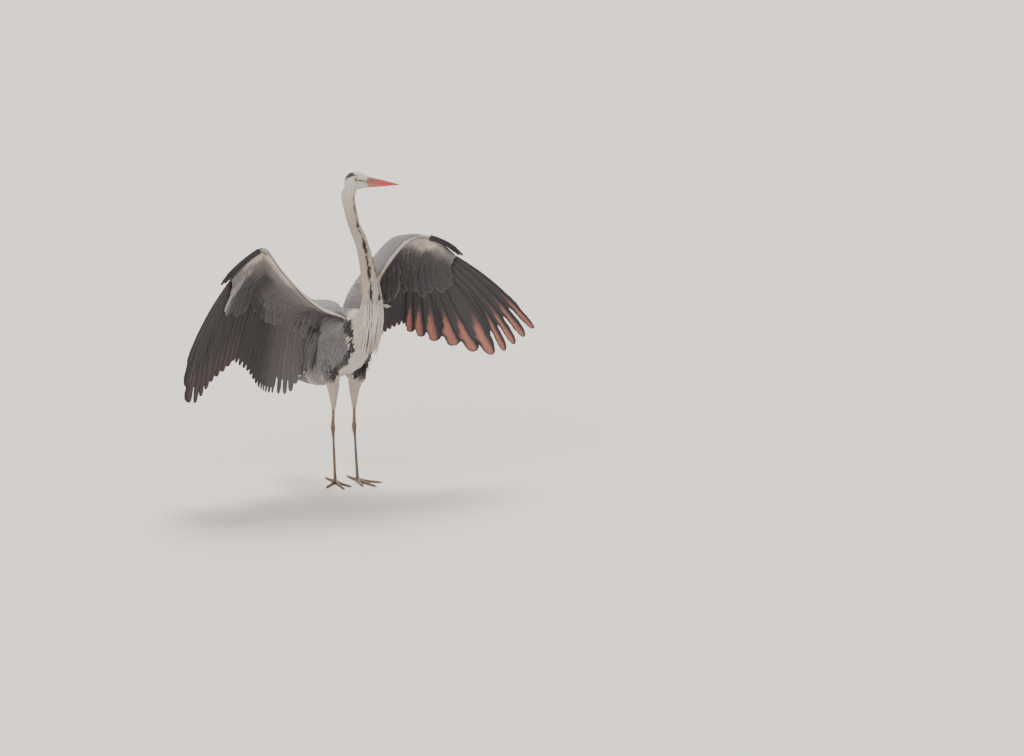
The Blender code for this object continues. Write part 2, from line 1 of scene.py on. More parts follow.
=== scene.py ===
"""Grey heron: the skin, plumage, bill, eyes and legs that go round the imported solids.

The bird faces -Y and its left side is +X. Points inside the functions are in the bird's own
frame, in millimetres above the ground between its feet; in_metres turns them into metres in the
frame of the solids. Each feather is a closed thin vane. Feathers are made many at a time, as
arrays with one row for each feather.
"""

import math
from functools import partial
from itertools import product

import bmesh
import bpy
import numpy as np
from bpy.props import FloatProperty, FloatVectorProperty, IntProperty, PointerProperty
from mathutils import Matrix, Vector
from mathutils.bvhtree import BVHTree


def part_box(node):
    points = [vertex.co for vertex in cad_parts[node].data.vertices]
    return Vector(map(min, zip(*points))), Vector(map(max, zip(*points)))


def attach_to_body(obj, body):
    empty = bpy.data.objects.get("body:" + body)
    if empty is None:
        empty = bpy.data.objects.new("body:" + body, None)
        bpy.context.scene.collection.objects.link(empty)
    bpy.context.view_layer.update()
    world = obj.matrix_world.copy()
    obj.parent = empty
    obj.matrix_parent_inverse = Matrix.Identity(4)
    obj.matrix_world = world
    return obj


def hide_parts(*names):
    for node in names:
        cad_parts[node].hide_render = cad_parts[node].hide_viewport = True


bl_info = {
    "name": "Grey heron",
    "version": (1, 0, 0),
    "blender": (4, 5, 0),
    "location": "View3D > Sidebar > Heron",
    "description": "Builds a life-size grey heron with plumage round its packed solids",
    "category": "Add Mesh",
}

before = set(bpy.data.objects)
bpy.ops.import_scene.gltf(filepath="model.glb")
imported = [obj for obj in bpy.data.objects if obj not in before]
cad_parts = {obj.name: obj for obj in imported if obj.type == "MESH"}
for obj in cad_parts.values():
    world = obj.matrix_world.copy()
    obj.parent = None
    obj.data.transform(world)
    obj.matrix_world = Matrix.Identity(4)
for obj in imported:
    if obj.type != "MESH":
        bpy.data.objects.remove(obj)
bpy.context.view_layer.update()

# ---- sizes of the solids, in mm
MM = 0.001
SIDES = {"left": 1, "right": -1}
UP = np.array([0.0, 0, 1])
FRONT = np.array([0.0, -1, 0])
WING_BACK = np.array([0, 0.6, 0.8])     # the way that the wings' upper faces look

HEAD_CENTRE = np.array([29.3, -51.6, 873.0])    # midway between the eyes
HEAD_YAW = math.radians(26)
HEAD_PITCH = math.radians(4)
EYE_RADIUS = 6.8
EYE_SIDE = 12.4
# Sections of the head: forward of the eyes, height of the middle, half width, half height.
HEAD = [
    (-53, -16, 6, 9), (-49, -13, 12, 18), (-41, -9, 16.5, 23), (-28, -6, 19, 26),
    (-12, -4.5, 19.3, 26), (0, -3.4, 18.2, 23.8), (13, -4.4, 15.6, 20.6), (25, -5.6, 12.2, 17.2),
    (34, -6.4, 9.9, 14.6),
]
BILL_BASE = 34.0
CULMEN = 108.0
BILL_TIP_HEIGHT = -8.0
BILL_BASE_WIDTH = 9.0
UPPER_DEPTH = 15.0
LOWER_DEPTH = 13.0
MOUTH_LINE = -7.4

# Centre lines with half widths and half depths: the neck and thighs downward, the trunk back.
NECK = [
    (19, -30, 856, 15, 17), (8, -18, 828, 19.5, 21.5), (9, -21, 798, 18.5, 20.5),
    (18.5, -35, 738, 16.4, 18.5), (27.5, -45, 711, 18, 20), (32.5, -60, 681, 18.3, 20.5),
    (33.5, -75, 656, 19.5, 22), (34, -105, 597, 23.7, 27), (31, -128, 541, 28, 33),
    (23, -128, 494, 36, 42), (12, -98, 448, 44, 52),
]
TRUNK = [
    (11, -130, 452, 22, 28), (10, -118, 450, 40, 50), (8, -95, 444, 54, 68),
    (5, -60, 430, 64, 80), (2, -15, 406, 67.5, 85), (0, 35, 380, 66, 81),
    (0, 85, 349, 57, 71), (0, 130, 315, 46, 58), (0, 172, 284, 36, 43),
    (0, 208, 264, 26, 23), (0, 228, 258, 18, 10),
]
THIGHS = {
    "left": [(46, -4, 348, 25, 31), (42, 2, 312, 24, 28), (37, 7, 276, 17.5, 20),
             (36, 8, 245, 11, 12.5), (36, 8, 212, 6.6, 7.2)],
    "right": [(-40, 0, 348, 25, 31), (-36, 5, 312, 24, 28), (-28, 11, 276, 17.5, 20),
              (-26, 12, 245, 11, 12.5), (-26, 12, 212, 6.6, 7.2)],
}
FEET = {
    "left": {"ankle": (36, 9, 158), "hub": (38, -8, 8), "yaw": 10},
    "right": {"ankle": (-27, 14, 158), "hub": (-28, -2, 8), "yaw": -8},
}
TOES = (("middle", 0, 84, 11), ("outer", 36, 66, 10), ("inner", -22, 66, 10),
        ("hind", 172, 58, 15))          # turn in degrees, length to the claw, claw
TAIL_ROOT = np.array([0.0, 196, 270])
TAIL_TIP = np.array([0.0, 302, 238])
TAIL_HALF_ROOT = 24.0
TAIL_HALF_TIP = 43.0
RECTRICES = 12
BIB_CENTRE = np.array([26, -129, 514])
BIB_RADIUS = 39.5
BIB_SPREAD = math.radians(54)
BIB_TIP = (17, -143, 366)

# Wings at eight stations: in the trunk, shoulder, inner arm, elbow, forearm, wrist, hand, end
# of hand. Then the tips of some numbered feathers, how far the first and last primary stay
# joined to their neighbours, the alula's tip and the outermost primary's leading edge.
SHOULDER, WRIST, HAND_END = 1, 5, 7
WINGS = {
    "left": {
        "lead": [(18, -80, 470), (48, -92, 505), (84, -56, 575), (137, -28, 627), (191, -5, 664),
            (246, 2, 681), (300, 4, 657), (350, 5, 617)],
        "crest": [(12, -5, 485), (34, 4, 534), (80, 24, 582), (135, 24, 638), (182, 15, 672),
            (240, 9, 682), (296, 8, 659), (347, 8, 615)],
        "covert": [(22, 85, 405), (64, 105, 455), (98, 120, 490), (135, 112, 525), (180, 95, 555),
            (232, 75, 580), (284, 55, 576), (336, 34, 560)],
        "primary": {1: (247, 93, 390), 3: (305, 50, 367), 4: (363, 30, 355), 6: (460, -6, 326),
            8: (526, -8, 350), 10: (588, -6, 390)},
        "secondary": {1: (236, 112, 411), 3: (212, 124, 402), 5: (188, 134, 388),
            8: (164, 141, 362), 11: (146, 141, 325), 13: (134, 138, 288), 16: (120, 132, 248),
            18: (100, 124, 275), 20: (76, 116, 330)},
        "slots": (0.91, 0.62), "alula": (365, -9, 620), "front": (479, -1, 514),
    },
    "right": {
        "lead": [(-18, -80, 470), (-48, -90, 492), (-95, -77, 510), (-150, -57, 558),
            (-205, -30, 629), (-246, -12, 687), (-291, -4, 661), (-344, 0, 609)],
        "crest": [(-12, -5, 485), (-45, -15, 518), (-97, -12, 522), (-150, -6, 556), (-201, -2, 622),
            (-243, -4, 685), (-288, 0, 660), (-341, 3, 607)],
        "covert": [(-22, 85, 405), (-66, 92, 440), (-110, 105, 455), (-152, 112, 475),
            (-192, 105, 505), (-232, 88, 552), (-281, 64, 560), (-331, 38, 546)],
        "primary": {1: (-300, 92, 356), 3: (-337, 82, 330), 5: (-376, 72, 306), 7: (-409, 62, 270),
            9: (-449, 53, 257), 10: (-462, 48, 306)},
        "secondary": {1: (-289, 95, 349), 4: (-253, 97, 322), 8: (-219, 96, 273),
            13: (-179, 90, 253), 16: (-127, 82, 255), 18: (-101, 82, 300), 20: (-76, 92, 345)},
        "slots": (0.94, 0.8), "alula": (-377, -6, 598), "front": (-431, 26, 453),
    },
}
ARM_DEPTH = [8, 12, 12, 11, 9.5, 8.5, 7, 4.5]
PRIMARIES, SECONDARIES, TERTIALS = 10, 13, 7
CREST_SHARES = (0.12, 0.45)

FLESH = ["head", "neck_upper", "neck_middle", "neck_lower", "trunk", "thigh_left", "thigh_right"]
FLESH += [f"wing_{part}_{side}" for part in ("upper_arm", "forearm", "hand") for side in SIDES]


# ---- points and curves
def unit(vector):
    return vector / np.maximum(span_of(vector)[..., None], 1e-9)


def span_of(vectors):
    return np.linalg.norm(vectors, axis=-1)


def columns(*parts):
    """Numbers and arrays side by side, each spread to the longest."""
    return np.stack(np.broadcast_arrays(*parts), axis=-1)


def run_along(line):
    """How far each of a line's points is along it."""
    return np.append(0, np.cumsum(span_of(np.diff(line, axis=0))))


def dot(a, b):
    return (a * b).sum(axis=-1, keepdims=True)


def flatten(direction, normal):
    """A direction laid into the plane that a normal stands on."""
    return unit(direction - dot(direction, normal) * normal)


def step(value, low, high):
    """0 below low, 1 above high and a smooth rise between."""
    t = np.clip((value - low) / (high - low), 0, 1)
    return t * t * (3 - 2 * t)


def smooth(keys, values, at):
    """Values on a smooth (cubic Hermite) curve through values[i] at keys[i]."""
    keys = np.asarray(keys, float)
    values = np.asarray(values, float)
    slopes = np.gradient(values, keys, axis=0)
    at = np.atleast_1d(np.asarray(at, float))
    i = np.clip(np.searchsorted(keys, at, side="right") - 1, 0, len(keys) - 2)
    span = (keys[i + 1] - keys[i])[:, None]
    t = (at - keys[i])[:, None] / span
    return ((2 * t**3 - 3 * t**2 + 1) * values[i] + (t**3 - 2 * t**2 + t) * span * slopes[i]
            + (3 * t**2 - 2 * t**3) * values[i + 1] + (t**3 - t**2) * span * slopes[i + 1])


def bezier(start, control, end, t):
    """Points on quadratic curves, for each of the ways t along them."""
    t = np.asarray(t, float)[None, :, None]
    start, control, end = (np.asarray(p, float)[:, None, :] for p in (start, control, end))
    return (1 - t)**2 * start + 2 * t * (1 - t) * control + t**2 * end


def from_line(points, line):
    """Distance of points from a line through a few places or sections."""
    line = np.asarray(line, float)[:, :3]
    best = np.full(len(points), 1e9)
    for a, b in zip(line, line[1:]):
        along = np.clip(((points - a) @ (b - a)) / ((b - a) @ (b - a)), 0, 1)
        best = np.minimum(best, span_of(points - a - along[:, None] * (b - a)))
    return best


def rows_at(at, keys, table):
    """Rows of a table between its keys, straight from one to the next."""
    return np.stack([np.interp(at, keys, column) for column in np.transpose(table)], axis=-1)


def mix(first, second, share):
    """A blend of two colours, or of rows of colours, by a share for each row."""
    share = np.asarray(share, float)[..., None]
    return np.asarray(first) * (1 - share) + np.asarray(second) * share


# The head's own directions.
LEFTWARD = np.array([math.cos(HEAD_YAW), math.sin(HEAD_YAW), 0])
AHEAD = np.cross(LEFTWARD, UP) * math.cos(HEAD_PITCH) + UP * math.sin(HEAD_PITCH)
HEADUP = np.cross(AHEAD, LEFTWARD)


def in_head(points):
    """From head coordinates (forward, left, up) to the bird's frame."""
    points = np.asarray(points, float)
    ahead, left, up = (points[..., k:k + 1] for k in range(3))
    return HEAD_CENTRE + ahead * AHEAD + left * LEFTWARD + up * HEADUP


def to_head(points):
    return (points - HEAD_CENTRE) @ columns(AHEAD, LEFTWARD, HEADUP)


# Where the bird's frame lies in the frame of the solids, from the boxes of the two eyes.
SHIFT = np.mean([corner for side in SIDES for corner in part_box("eye_" + side)], axis=0)
SHIFT = (SHIFT - HEAD_CENTRE * MM) * (1, 1, 0)


def in_metres(points):
    return np.asarray(points, float) * MM + SHIFT


def in_mm(points):
    return (np.asarray(points, float) - SHIFT) / MM


# ---- meshes
def add_object(name, data):
    obj = bpy.data.objects.new(name, data)
    bpy.context.scene.collection.objects.link(obj)
    return obj


def attach(mesh, look, slot, *replaced):
    """Put a mesh on the bird with its material, and hide the solids that it stands for. slot is not used.
    """
    mesh.materials.append(material(look))
    obj = add_object(mesh.name, mesh)
    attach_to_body(obj, "root")
    if replaced:
        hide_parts(*replaced)


def mesh_from(name, bm, from_mm=True):
    """A smooth mesh from a bmesh, with its normals pointing out."""
    if from_mm:
        for vert in bm.verts:
            vert.co = in_metres(vert.co)
    bmesh.ops.recalc_face_normals(bm, faces=bm.faces)
    mesh = bpy.data.meshes.new(name)
    bm.to_mesh(mesh)
    bm.free()
    mesh.shade_smooth()
    return mesh


def paint(mesh, name, colours):
    """Store one colour for each vertex, or the same colour for all."""
    rgba = np.ones((len(mesh.vertices), 4), np.float32)
    rgba[:, :3] = np.clip(colours, 0, 1)
    layer = mesh.color_attributes.new(name, "FLOAT_COLOR", "POINT")
    layer.data.foreach_set("color", rgba.ravel())


def points_of(mesh):
    """A mesh's vertices in the bird's frame."""
    places = np.empty(len(mesh.vertices) * 3)
    mesh.vertices.foreach_get("co", places)
    return in_mm(places.reshape(-1, 3))


def places_of(bm):
    """A bmesh's vertices in the bird's frame, where the bmesh is in metres."""
    return in_mm(np.array([vert.co[:] for vert in bm.verts]))


def join_rings(bm, rings, closed=False):
    """Faces between rings of places, with a cap at each end or the ends joined if closed."""
    rings = [[bm.verts.new(place) for place in ring] for ring in rings]
    for low, high in zip(rings, rings[1:] + rings[:1] * closed):
        for i in range(len(low)):
            j = (i + 1) % len(low)
            bm.faces.new((low[i], low[j], high[j], high[i]))
    if not closed:
        bm.faces.new(rings[0][::-1])
        bm.faces.new(rings[-1])


# ---- vanes
BAKE_PATCH = 0.003          # width of one feather's patch on the bake map

# Rows along a feather, and its half width at each as a share of the widest.
SMALL_ROWS = np.array([0.0, 0.3, 0.65, 0.9])
SMALL_SHAPE = np.array([0.4, 0.9, 1.0, 0.55])
LONG_ROWS = np.array([0.0, 0.15, 0.32, 0.5, 0.68, 0.84, 0.95])
LANCE_SHAPE = np.array([0.4, 0.8, 1.0, 0.92, 0.7, 0.42, 0.18])
ROUND_SHAPE = np.array([0.35, 0.72, 0.92, 1.0, 0.98, 0.84, 0.52])
TINY = {"rows": np.array([0.0, 0.42, 0.82]), "shape": np.array([0.5, 1.0, 0.55])}


def vane_points(spine, side, normal, width, thick, camber=0.0, under=False):
    """Rings of points round each vane: (n, rows, ring, 3), and each point's place across it.

    The back is one flat face from edge to edge, or a ridge like the front's if under is True.
    """
    ring = np.array([-1.0, 0, 1] + [0] * under)
    lift = np.array([0.0, 1, 0] + [-1] * under)
    width = width[:, :, None, None]
    arch = (camber * (1 - ring**2))[:, None] * width
    points = spine[:, :, None] + side[:, :, None] * ring[:, None] * width
    return points + normal[:, :, None] * (arch + lift[:, None] * thick / 2), ring


def vane_faces(count, rows, ring):
    """Quads between rings, a fan to each tip and a root cap: their corners and sizes."""
    k = np.arange(ring)
    after = (k + 1) % ring
    low = np.arange(rows - 1)[:, None] * ring
    quads = columns(low + k, low + after, low + ring + after, low + ring + k)
    last = (rows - 1) * ring
    fans = columns(last + k, last + after, rows * ring)
    first = np.arange(count)[:, None, None] * (rows * ring + 1)
    groups = [first + faces for faces in (quads.reshape(-1, 4), fans, k[None, ::-1])]
    sizes = [np.full(group.size // group.shape[-1], group.shape[-1]) for group in groups]
    return np.concatenate([group.ravel() for group in groups]), np.concatenate(sizes)


def vane_mesh(name, points, ring, tips, rows, body, tip, uv=None):
    """Join vanes into one mesh. body gives the rings' colours and tip the tips'."""
    count, _, size, _ = points.shape
    corners, sizes = vane_faces(count, len(rows), size)
    verts = np.concatenate([points.reshape(count, -1, 3), tips[:, None]], axis=1)
    mesh = bpy.data.meshes.new(name)
    mesh.vertices.add(verts.size // 3)
    mesh.vertices.foreach_set("co", in_metres(verts).astype(np.float32).ravel())
    mesh.loops.add(len(corners))
    mesh.loops.foreach_set("vertex_index", corners.astype(np.int32))
    mesh.polygons.add(len(sizes))
    mesh.polygons.foreach_set("loop_start", (np.cumsum(sizes) - sizes).astype(np.int32))
    mesh.update(calc_edges=True)
    mesh.shade_smooth()

    painted = [np.broadcast_to(body, points.shape).reshape(count, -1, 3),
               np.broadcast_to(tip, tips.shape)[:, None]]
    paint(mesh, "Plumage", np.concatenate(painted, axis=1).reshape(-1, 3))
    across = np.append(np.tile(ring, len(rows)), 0)
    along = np.append(np.repeat(rows, size), 1)
    maps = {"Vane": columns(across * 0.5 + 0.5, along)}
    if uv is not None:
        patch = columns(across * 0.5, along - 0.5) * BAKE_PATCH
        maps["OFBake"] = np.clip(uv, BAKE_PATCH, 1 - BAKE_PATCH)[:, None] + patch
    for label, places in maps.items():
        flat = np.broadcast_to(places, (*verts.shape[:2], 2)).reshape(-1, 2)[corners]
        mesh.uv_layers.new(name=label).data.foreach_set("uv", flat.astype(np.float32).ravel())
    return mesh


def plain_vanes(name, slot, spine, side, normal, tips, width, rows, thick, camber, colours, uv,
                root_shade, edge, uneven, replaced=(), look="body_plumage"):
    """Attach vanes of one colour each, with painted shade darker at the root where they overlap and a
    painted highlight paler at the edge of the tip.
    """
    at = np.append(rows, 1)
    # root_shade is the painted shade at the root, and edge the painted highlight at the tip.
    tone = (root_shade + (1 - root_shade) * at**0.5) * (1 + edge * at**3) * uneven
    painted = colours[:, None] * tone[..., None]
    points, ring = vane_points(spine, side, normal, width, thick, camber)
    mesh = vane_mesh(name, points, ring, tips, rows, painted[:, :-1, None], painted[:, -1], uv)
    attach(mesh, look, slot, *replaced)


# ---- draping on a surface
def tree_of(mesh):
    """A mesh's triangles, in millimetres, for looking up places."""
    mesh.calc_loop_triangles()
    corners = np.empty(len(mesh.loop_triangles) * 3, np.int32)
    mesh.loop_triangles.foreach_get("vertices", corners)
    return BVHTree.FromPolygons(points_of(mesh).tolist(), corners.reshape(-1, 3).tolist())


def tree_of_grid(grid):
    """The same for a grid of places, each square as two triangles."""
    count, width = grid.shape[:2]
    first = (np.arange(count - 1)[:, None] * width + np.arange(width - 1)).ravel()
    faces = np.vstack([columns(first, first + 1, first + width + 1),
                       columns(first, first + width + 1, first + width)])
    return BVHTree.FromPolygons(grid.reshape(-1, 3).tolist(), faces.tolist())


def nearest(tree, points):
    """The nearest places on a surface, its outward normals and how far away they are."""
    found = [tree.find_nearest(point) for point in points.reshape(-1, 3).tolist()]
    places, normals, gaps = (np.array([hit[k] for hit in found]) for k in (0, 1, 3))
    return (places.reshape(points.shape), normals.reshape(points.shape), gaps.reshape(points.shape[:-1]))


def heights(tree, points):
    """The height of a surface's top at each place, or NaN where there is none."""
    hits = [tree.ray_cast((x, y, 700), (0, 0, -1))[0] for x, y, _ in points.tolist()]
    return np.array([hit.z if hit else np.nan for hit in hits])


def drape(tree, roots, direction, length, rows, depth, facing, root_depth):
    """Spines along a surface, rising to the coat's depth, with their sides, normals and tips.

    Where the surface curves away, a feather goes straight on. facing keeps to one side of it.
    """
    at = np.append(rows, 1)
    far = length[:, None] * at
    reach = roots[:, None] + direction[:, None] * far[..., None]
    places, normals, gaps = nearest(tree, reach)
    if facing is not None:
        normals = normals * np.where(dot(normals, facing[:, None]) < 0, -1, 1)
    over = np.clip((gaps / np.maximum(far, 1e-6) - 0.25) * 2, 0, 1)[..., None]
    over[:, 0] = 0
    places = places + (reach - places) * over
    normals = unit(normals * (1 - over) + normals[:, :1] * over)
    rise = np.reshape(depth, (-1, 1)) * (root_depth + (1 - root_depth) * at**0.8)
    line = places + normals * rise[..., None]
    side = unit(np.cross(unit(np.gradient(line, axis=1)), normals))
    return line[:, :-1], side[:, :-1], normals[:, :-1], line[:, -1]


def small_vanes(name, slot, tree, roots, direction, length, width, depth, colours, uv, rng,
                shape=SMALL_SHAPE, rows=SMALL_ROWS, thick=0.35, camber=0.14, edge=0.05,
                root_depth=0.3, facing=None, loose=None, **more):
    """Attach a tract of feathers draped on a surface, as one mesh.

    Feathers that the surface bends or twists too far are left out, and so are those whose tips
    lie off it by more than loose, a share of their length.
    """
    spine, side, normal, tips = drape(tree, roots, direction, length, rows, depth, facing, root_depth)
    keep = dot(unit(tips - spine[:, 0]), direction)[:, 0] > 0.82
    keep &= (dot(side[:, 1:], side[:, :-1])[..., 0] > 0.6).all(axis=1)
    if loose is not None:
        keep &= nearest(tree, tips)[2] < depth * 1.3 + loose * length
    spine, side, normal, tips, width, colours, uv = (
        v[keep] for v in (spine, side, normal, tips, width, colours, uv))
    # 0.9 is the painted shade at each root, and edge the painted highlight at the tip.
    plain_vanes(name, slot, spine, side, normal, tips, width[:, None] * shape, rows, thick, camber,
                colours, uv, 0.9, edge, rng.normal(1, 0.035, (len(tips), 1)), **more)


# ---- markings
BLACK = np.array([0.014, 0.013, 0.015])
WHITE = np.array([0.74, 0.685, 0.62])
NECK_GREY = np.array([0.5, 0.43, 0.375])
CHEST_CREAM = np.array([0.6, 0.52, 0.44])
BODY_GREY = np.array([0.132, 0.121, 0.12])
BACK_GREY = np.array([0.205, 0.199, 0.206])
BELLY_WHITE = np.array([0.6, 0.54, 0.49])
REAR_BUFF = np.array([0.42, 0.37, 0.34])
THIGH_GREY = np.array([0.5, 0.43, 0.385])
CREAM_EDGE = np.array([0.66, 0.57, 0.49])
UNDER_PALE = np.array([0.215, 0.195, 0.19])
UNDER_SLATE = np.array([0.062, 0.057, 0.061])
UPPER_ASH = np.array([0.21, 0.199, 0.2])
REMEX_UNDER = np.array([0.05, 0.046, 0.05])
REMEX_UPPER = np.array([0.022, 0.022, 0.027])
# Painted light: the glow of sun shining through the thin webs of backlit flight feathers.
BACKLIT_GLOW = np.array([0.45, 0.18, 0.135])
LORE = np.array([0.25, 0.165, 0.155])
DARK_SKIN = np.array([0.035, 0.03, 0.025])
IRIS_GOLD = np.array([0.66, 0.45, 0.04])
QUILL = np.array([0.075, 0.062, 0.055])
BILL_PINK = np.array([0.52, 0.035, 0.055])
LEG_BROWN = np.array([0.135, 0.085, 0.055])

# The black streaks that wind down the neck: heights, and angles from straight ahead to the left.
STREAK_HEIGHTS = (470, 517, 548, 584, 625, 667, 700, 730, 770, 820, 850)
STREAK_ANGLES = (-22, -28, -31, -26, -20, -13, -5, 4, 14, 22, 30)
SECOND_ROW = 46.0           # degrees between the two rows of streaks
SHOULDER_LINE = [(31, -105, 492), (25, -130, 456), (28, -121, 415), (33, -96, 383),
                 (38, -56, 354), (38, -16, 330), (34, 45, 300)]
BELLY_LINE = [(14, -140, 430), (8, -112, 385), (4, -60, 350), (0, -10, 322), (0, 60, 292)]
# A line along the right underwing's fold, where a painted highlight runs.
LIT_FOLD = [(-236, 20, 614), (-200, 60, 530), (-165, 80, 450), (-107, 85, 292)]


def ripple(points, size):
    """A cheap smooth unevenness between -1 and 1."""
    p = points / size
    return (np.sin(p[:, 0] * 1.7 + np.sin(p[:, 1] * 1.3 + p[:, 2]))
            * np.cos(p[:, 1] * 1.1 + np.sin(p[:, 2] * 1.9 + p[:, 0])) * 0.6
            + np.sin(p[:, 2] * 2.3 + 2 * np.sin(p[:, 0] * 0.7)) * 0.4)


def head_colour(points):
    ahead, left, up = to_head(points).T
    side = np.abs(left)
    low = np.interp(ahead, (-52, -40, -18, -6, 10), (-8, -2, 4.5, 9.5, 9))
    high = np.interp(ahead, (-52, -40, -18, -6, 10), (14, 21, 22, 13.5, 10.5))
    wide = np.interp(ahead, (-50, -30, 0), (1, 4, 7))
    dark = (step(up, low - 1.2, low + 1.2) * step(-up, -high - 1.5, -high + 1.5)
            * step(side, wide - 1.2, wide + 1.2) * step(-ahead, -10, -4))
    colour = mix(WHITE, BLACK, dark)
    shade = step(-up, 6, 24)[:, None] * 0.1
    return colour * (1 - shade)


def neck_angle(points):
    """Each place's turn round the neck from straight ahead, and the neck's radius there."""
    table = np.array(NECK[::-1])
    x, y, radius = rows_at(points[:, 2], np.maximum.accumulate(table[:, 2]), table[:, [0, 1, 3]]).T
    return np.degrees(np.arctan2(points[:, 0] - x, -(points[:, 1] - y))), radius


def neck_colour(points):
    angle, radius = neck_angle(points)
    z = points[:, 2]
    colour = mix(NECK_GREY, WHITE, step(z, 760, 850) * 0.8)
    colour = mix(colour, CHEST_CREAM, step(-z, -600, -520))
    middle = np.interp(z, STREAK_HEIGHTS, STREAK_ANGLES)
    dark = np.zeros(len(points))
    for shift, width, gap in ((0, 1, 0.01), (11, 0.55, 0.3), (SECOND_ROW, 0.9, 0.25)):
        off = np.abs((angle - middle - shift + 180) % 360 - 180) * math.pi / 180 * radius
        sway = 1.1 * np.sin(z / 9.0 + shift)
        broad = np.interp(z, (480, 560, 690, 760, 850), (2, 2.7, 2.3, 1.6, 0.9)) * width
        if shift == 11:
            broad *= step(z, 632, 648) * step(-z, -735, -715)
        broad = broad * (1 + 0.25 * np.sin(z / 6.5 + shift * 2) + 0.15 * np.sin(z / 2.9))
        beat = np.sin(z / 11.0 + shift * 3) * 0.5 + 0.5
        broken = step(beat, gap * 0.2, gap * 1.3 * np.interp(z, (560, 700, 830), (.5, 1, 3)))
        dark = np.maximum(dark, step(-np.abs(off - sway), -broad - 0.9, -broad + 0.6) * broken)
    buff = np.exp(-((angle - middle - 10) / 55)**2) * step(z, 560, 640)
    colour = mix(colour, colour * (1, 0.93, 0.86), buff)
    return mix(colour, BLACK, dark * step(-z, -862, -845))


def trunk_colour(points):
    x, y, z = points.T
    back = np.interp(y, (-130, -60, 35, 130, 228), (452, 430, 380, 315, 258))
    colour = mix(BODY_GREY, BACK_GREY, step(z, back + 5, back + 40))
    colour = mix(colour, REAR_BUFF, step(y, 90, 170) * step(-z, -back + 5, -back + 25))
    belly = from_line(folded_over(points), BELLY_LINE)
    border = np.interp(z, (300, 325, 348, 375, 406, 447), (34, 38, 38, 35, 32, 29))
    colour = mix(colour, BELLY_WHITE, step(-belly - ripple(points, 15) * 4, -50, -30)
                 * step(-y, -85, -45) * step(border - np.abs(x), -3, 2))
    chest = step(-y, 96, 118) * step(z, 415, 450) * step(-np.abs(x - 12), -46, -34)
    return mix(colour, CHEST_CREAM, chest)


def folded_over(points):
    """The same places with the bird's right side laid over its left."""
    return np.column_stack([np.abs(points[:, 0]), points[:, 1:]])


def flank_stripe(points):
    """1 on the black stripe down from each shoulder to the thigh."""
    line = from_line(folded_over(points), SHOULDER_LINE)
    broad = np.interp(points[:, 2], (300, 345, 375, 450, 470, 494), (7, 11, 10, 7, 14, 17))
    return step(-line - ripple(points, 9) * 2.2, -broad - 2, -broad + 1)


def thigh_colour(points):
    z = points[:, 2]
    return mix(THIGH_GREY, THIGH_GREY * (0.95, 0.86, 0.8), step(-z, -270, -215))


def wing_colour(points, upper):
    """Colours on the feathered arm by how far back from the leading edge a place is, with painted light
    by the right underwing's fold.
    """
    side = np.where(points[:, 0] > 0, 1, -1)
    colour = np.zeros((len(points), 3))
    for name, sign in SIDES.items():
        pick = side == sign
        lead = np.array(WINGS[name]["lead"])
        here = points[pick]
        back = from_line(here, lead)
        wrist = span_of(here - lead[WRIST])
        from_end = span_of(here - lead[HAND_END])
        mottle = back * np.interp(from_end, (40, 120), (1.9, 1)) + ripple(here, 13) * 10
        slate = (34, 80) if name == "right" else (24, 62)
        below = mix(UNDER_PALE, UNDER_SLATE, step(mottle, *slate))
        below = mix(below, REMEX_UNDER, step(back, 86, 120))
        rim = back + ripple(here, 11) * 5
        pale = np.maximum(step(-rim, -24, -3) * step(from_end, 50, 90) * 0.8,
                          step(-mottle, -36, -8) * step(-wrist, -96, -44))
        below = mix(below, CREAM_EDGE, pale)
        if name == "right":
            # Painted light: inside the fold the underside is set to an even mid grey, paler than the
            # slate, where it catches light from the sky, and a painted highlight runs along the fold.
            fold = from_line(here, LIT_FOLD)
            edge_x = np.interp(here[:, 2], *np.array(LIT_FOLD)[::-1].T[[2, 0]])
            inside = step(here[:, 0] - edge_x, 0, 12) * step(-here[:, 2], -600, -560)
            below = mix(below, UNDER_PALE * 0.62, inside * 0.8)
            below = mix(below, UNDER_PALE * 1.35, step(-fold, -13, -6))
            ragged = from_line(here, [(-262, 8, 632), (-300, 20, 596), (-338, 30, 556)])
            below = mix(below, UNDER_PALE * 1.7, step(-ragged - ripple(here, 8) * 6, -20, -10))
        above = mix(UPPER_ASH, UPPER_ASH * 0.72, step(back, 70, 130))
        above = mix(above, CREAM_EDGE, step(-back, -7, -4))
        primary = step(-from_end, -150, -110)
        above = mix(above, REMEX_UPPER * 2.2, primary * step(back, 26, 44))
        colour[pick] = mix(below, above, upper[pick].astype(float))
    return colour


def plumage_colour(points, normals):
    """The bird's markings at any places on its body, for the skin as for the coat."""
    ahead = to_head(points)[:, 0]
    x, y, z = points.T
    neck_off = from_line(points, NECK)
    colour = trunk_colour(points)
    neck = step(z, 462, 486) * step(-neck_off, -48, -40) * step(-y, 55, 75)
    neck = np.maximum(neck, step(z, 560, 600) * step(-np.abs(x), -75, -70))
    colour = mix(colour, neck_colour(points), neck)
    head = step(z, 838, 850) * step(ahead, -60, -56)
    colour = mix(colour, head_colour(points), head)
    out = np.interp(z, (380, 450, 520), (68, 62, 40))
    wing = step(np.abs(x), out, out + 16) * step(y, -118, -100)
    inner = (1 - neck) * step(z, 470, 500) * step(y, -104, -88)
    wing = np.maximum(wing, inner) * (1 - head)
    colour = mix(colour, wing_colour(points, normals @ WING_BACK > 0), wing)
    colour = mix(colour, BLACK * 0.8, flank_stripe(points))
    thigh = np.min([from_line(points, THIGHS[s]) for s in SIDES], axis=0)
    return mix(colour, thigh_colour(points), step(-z, -318, -300) * step(-thigh, -36, -26))


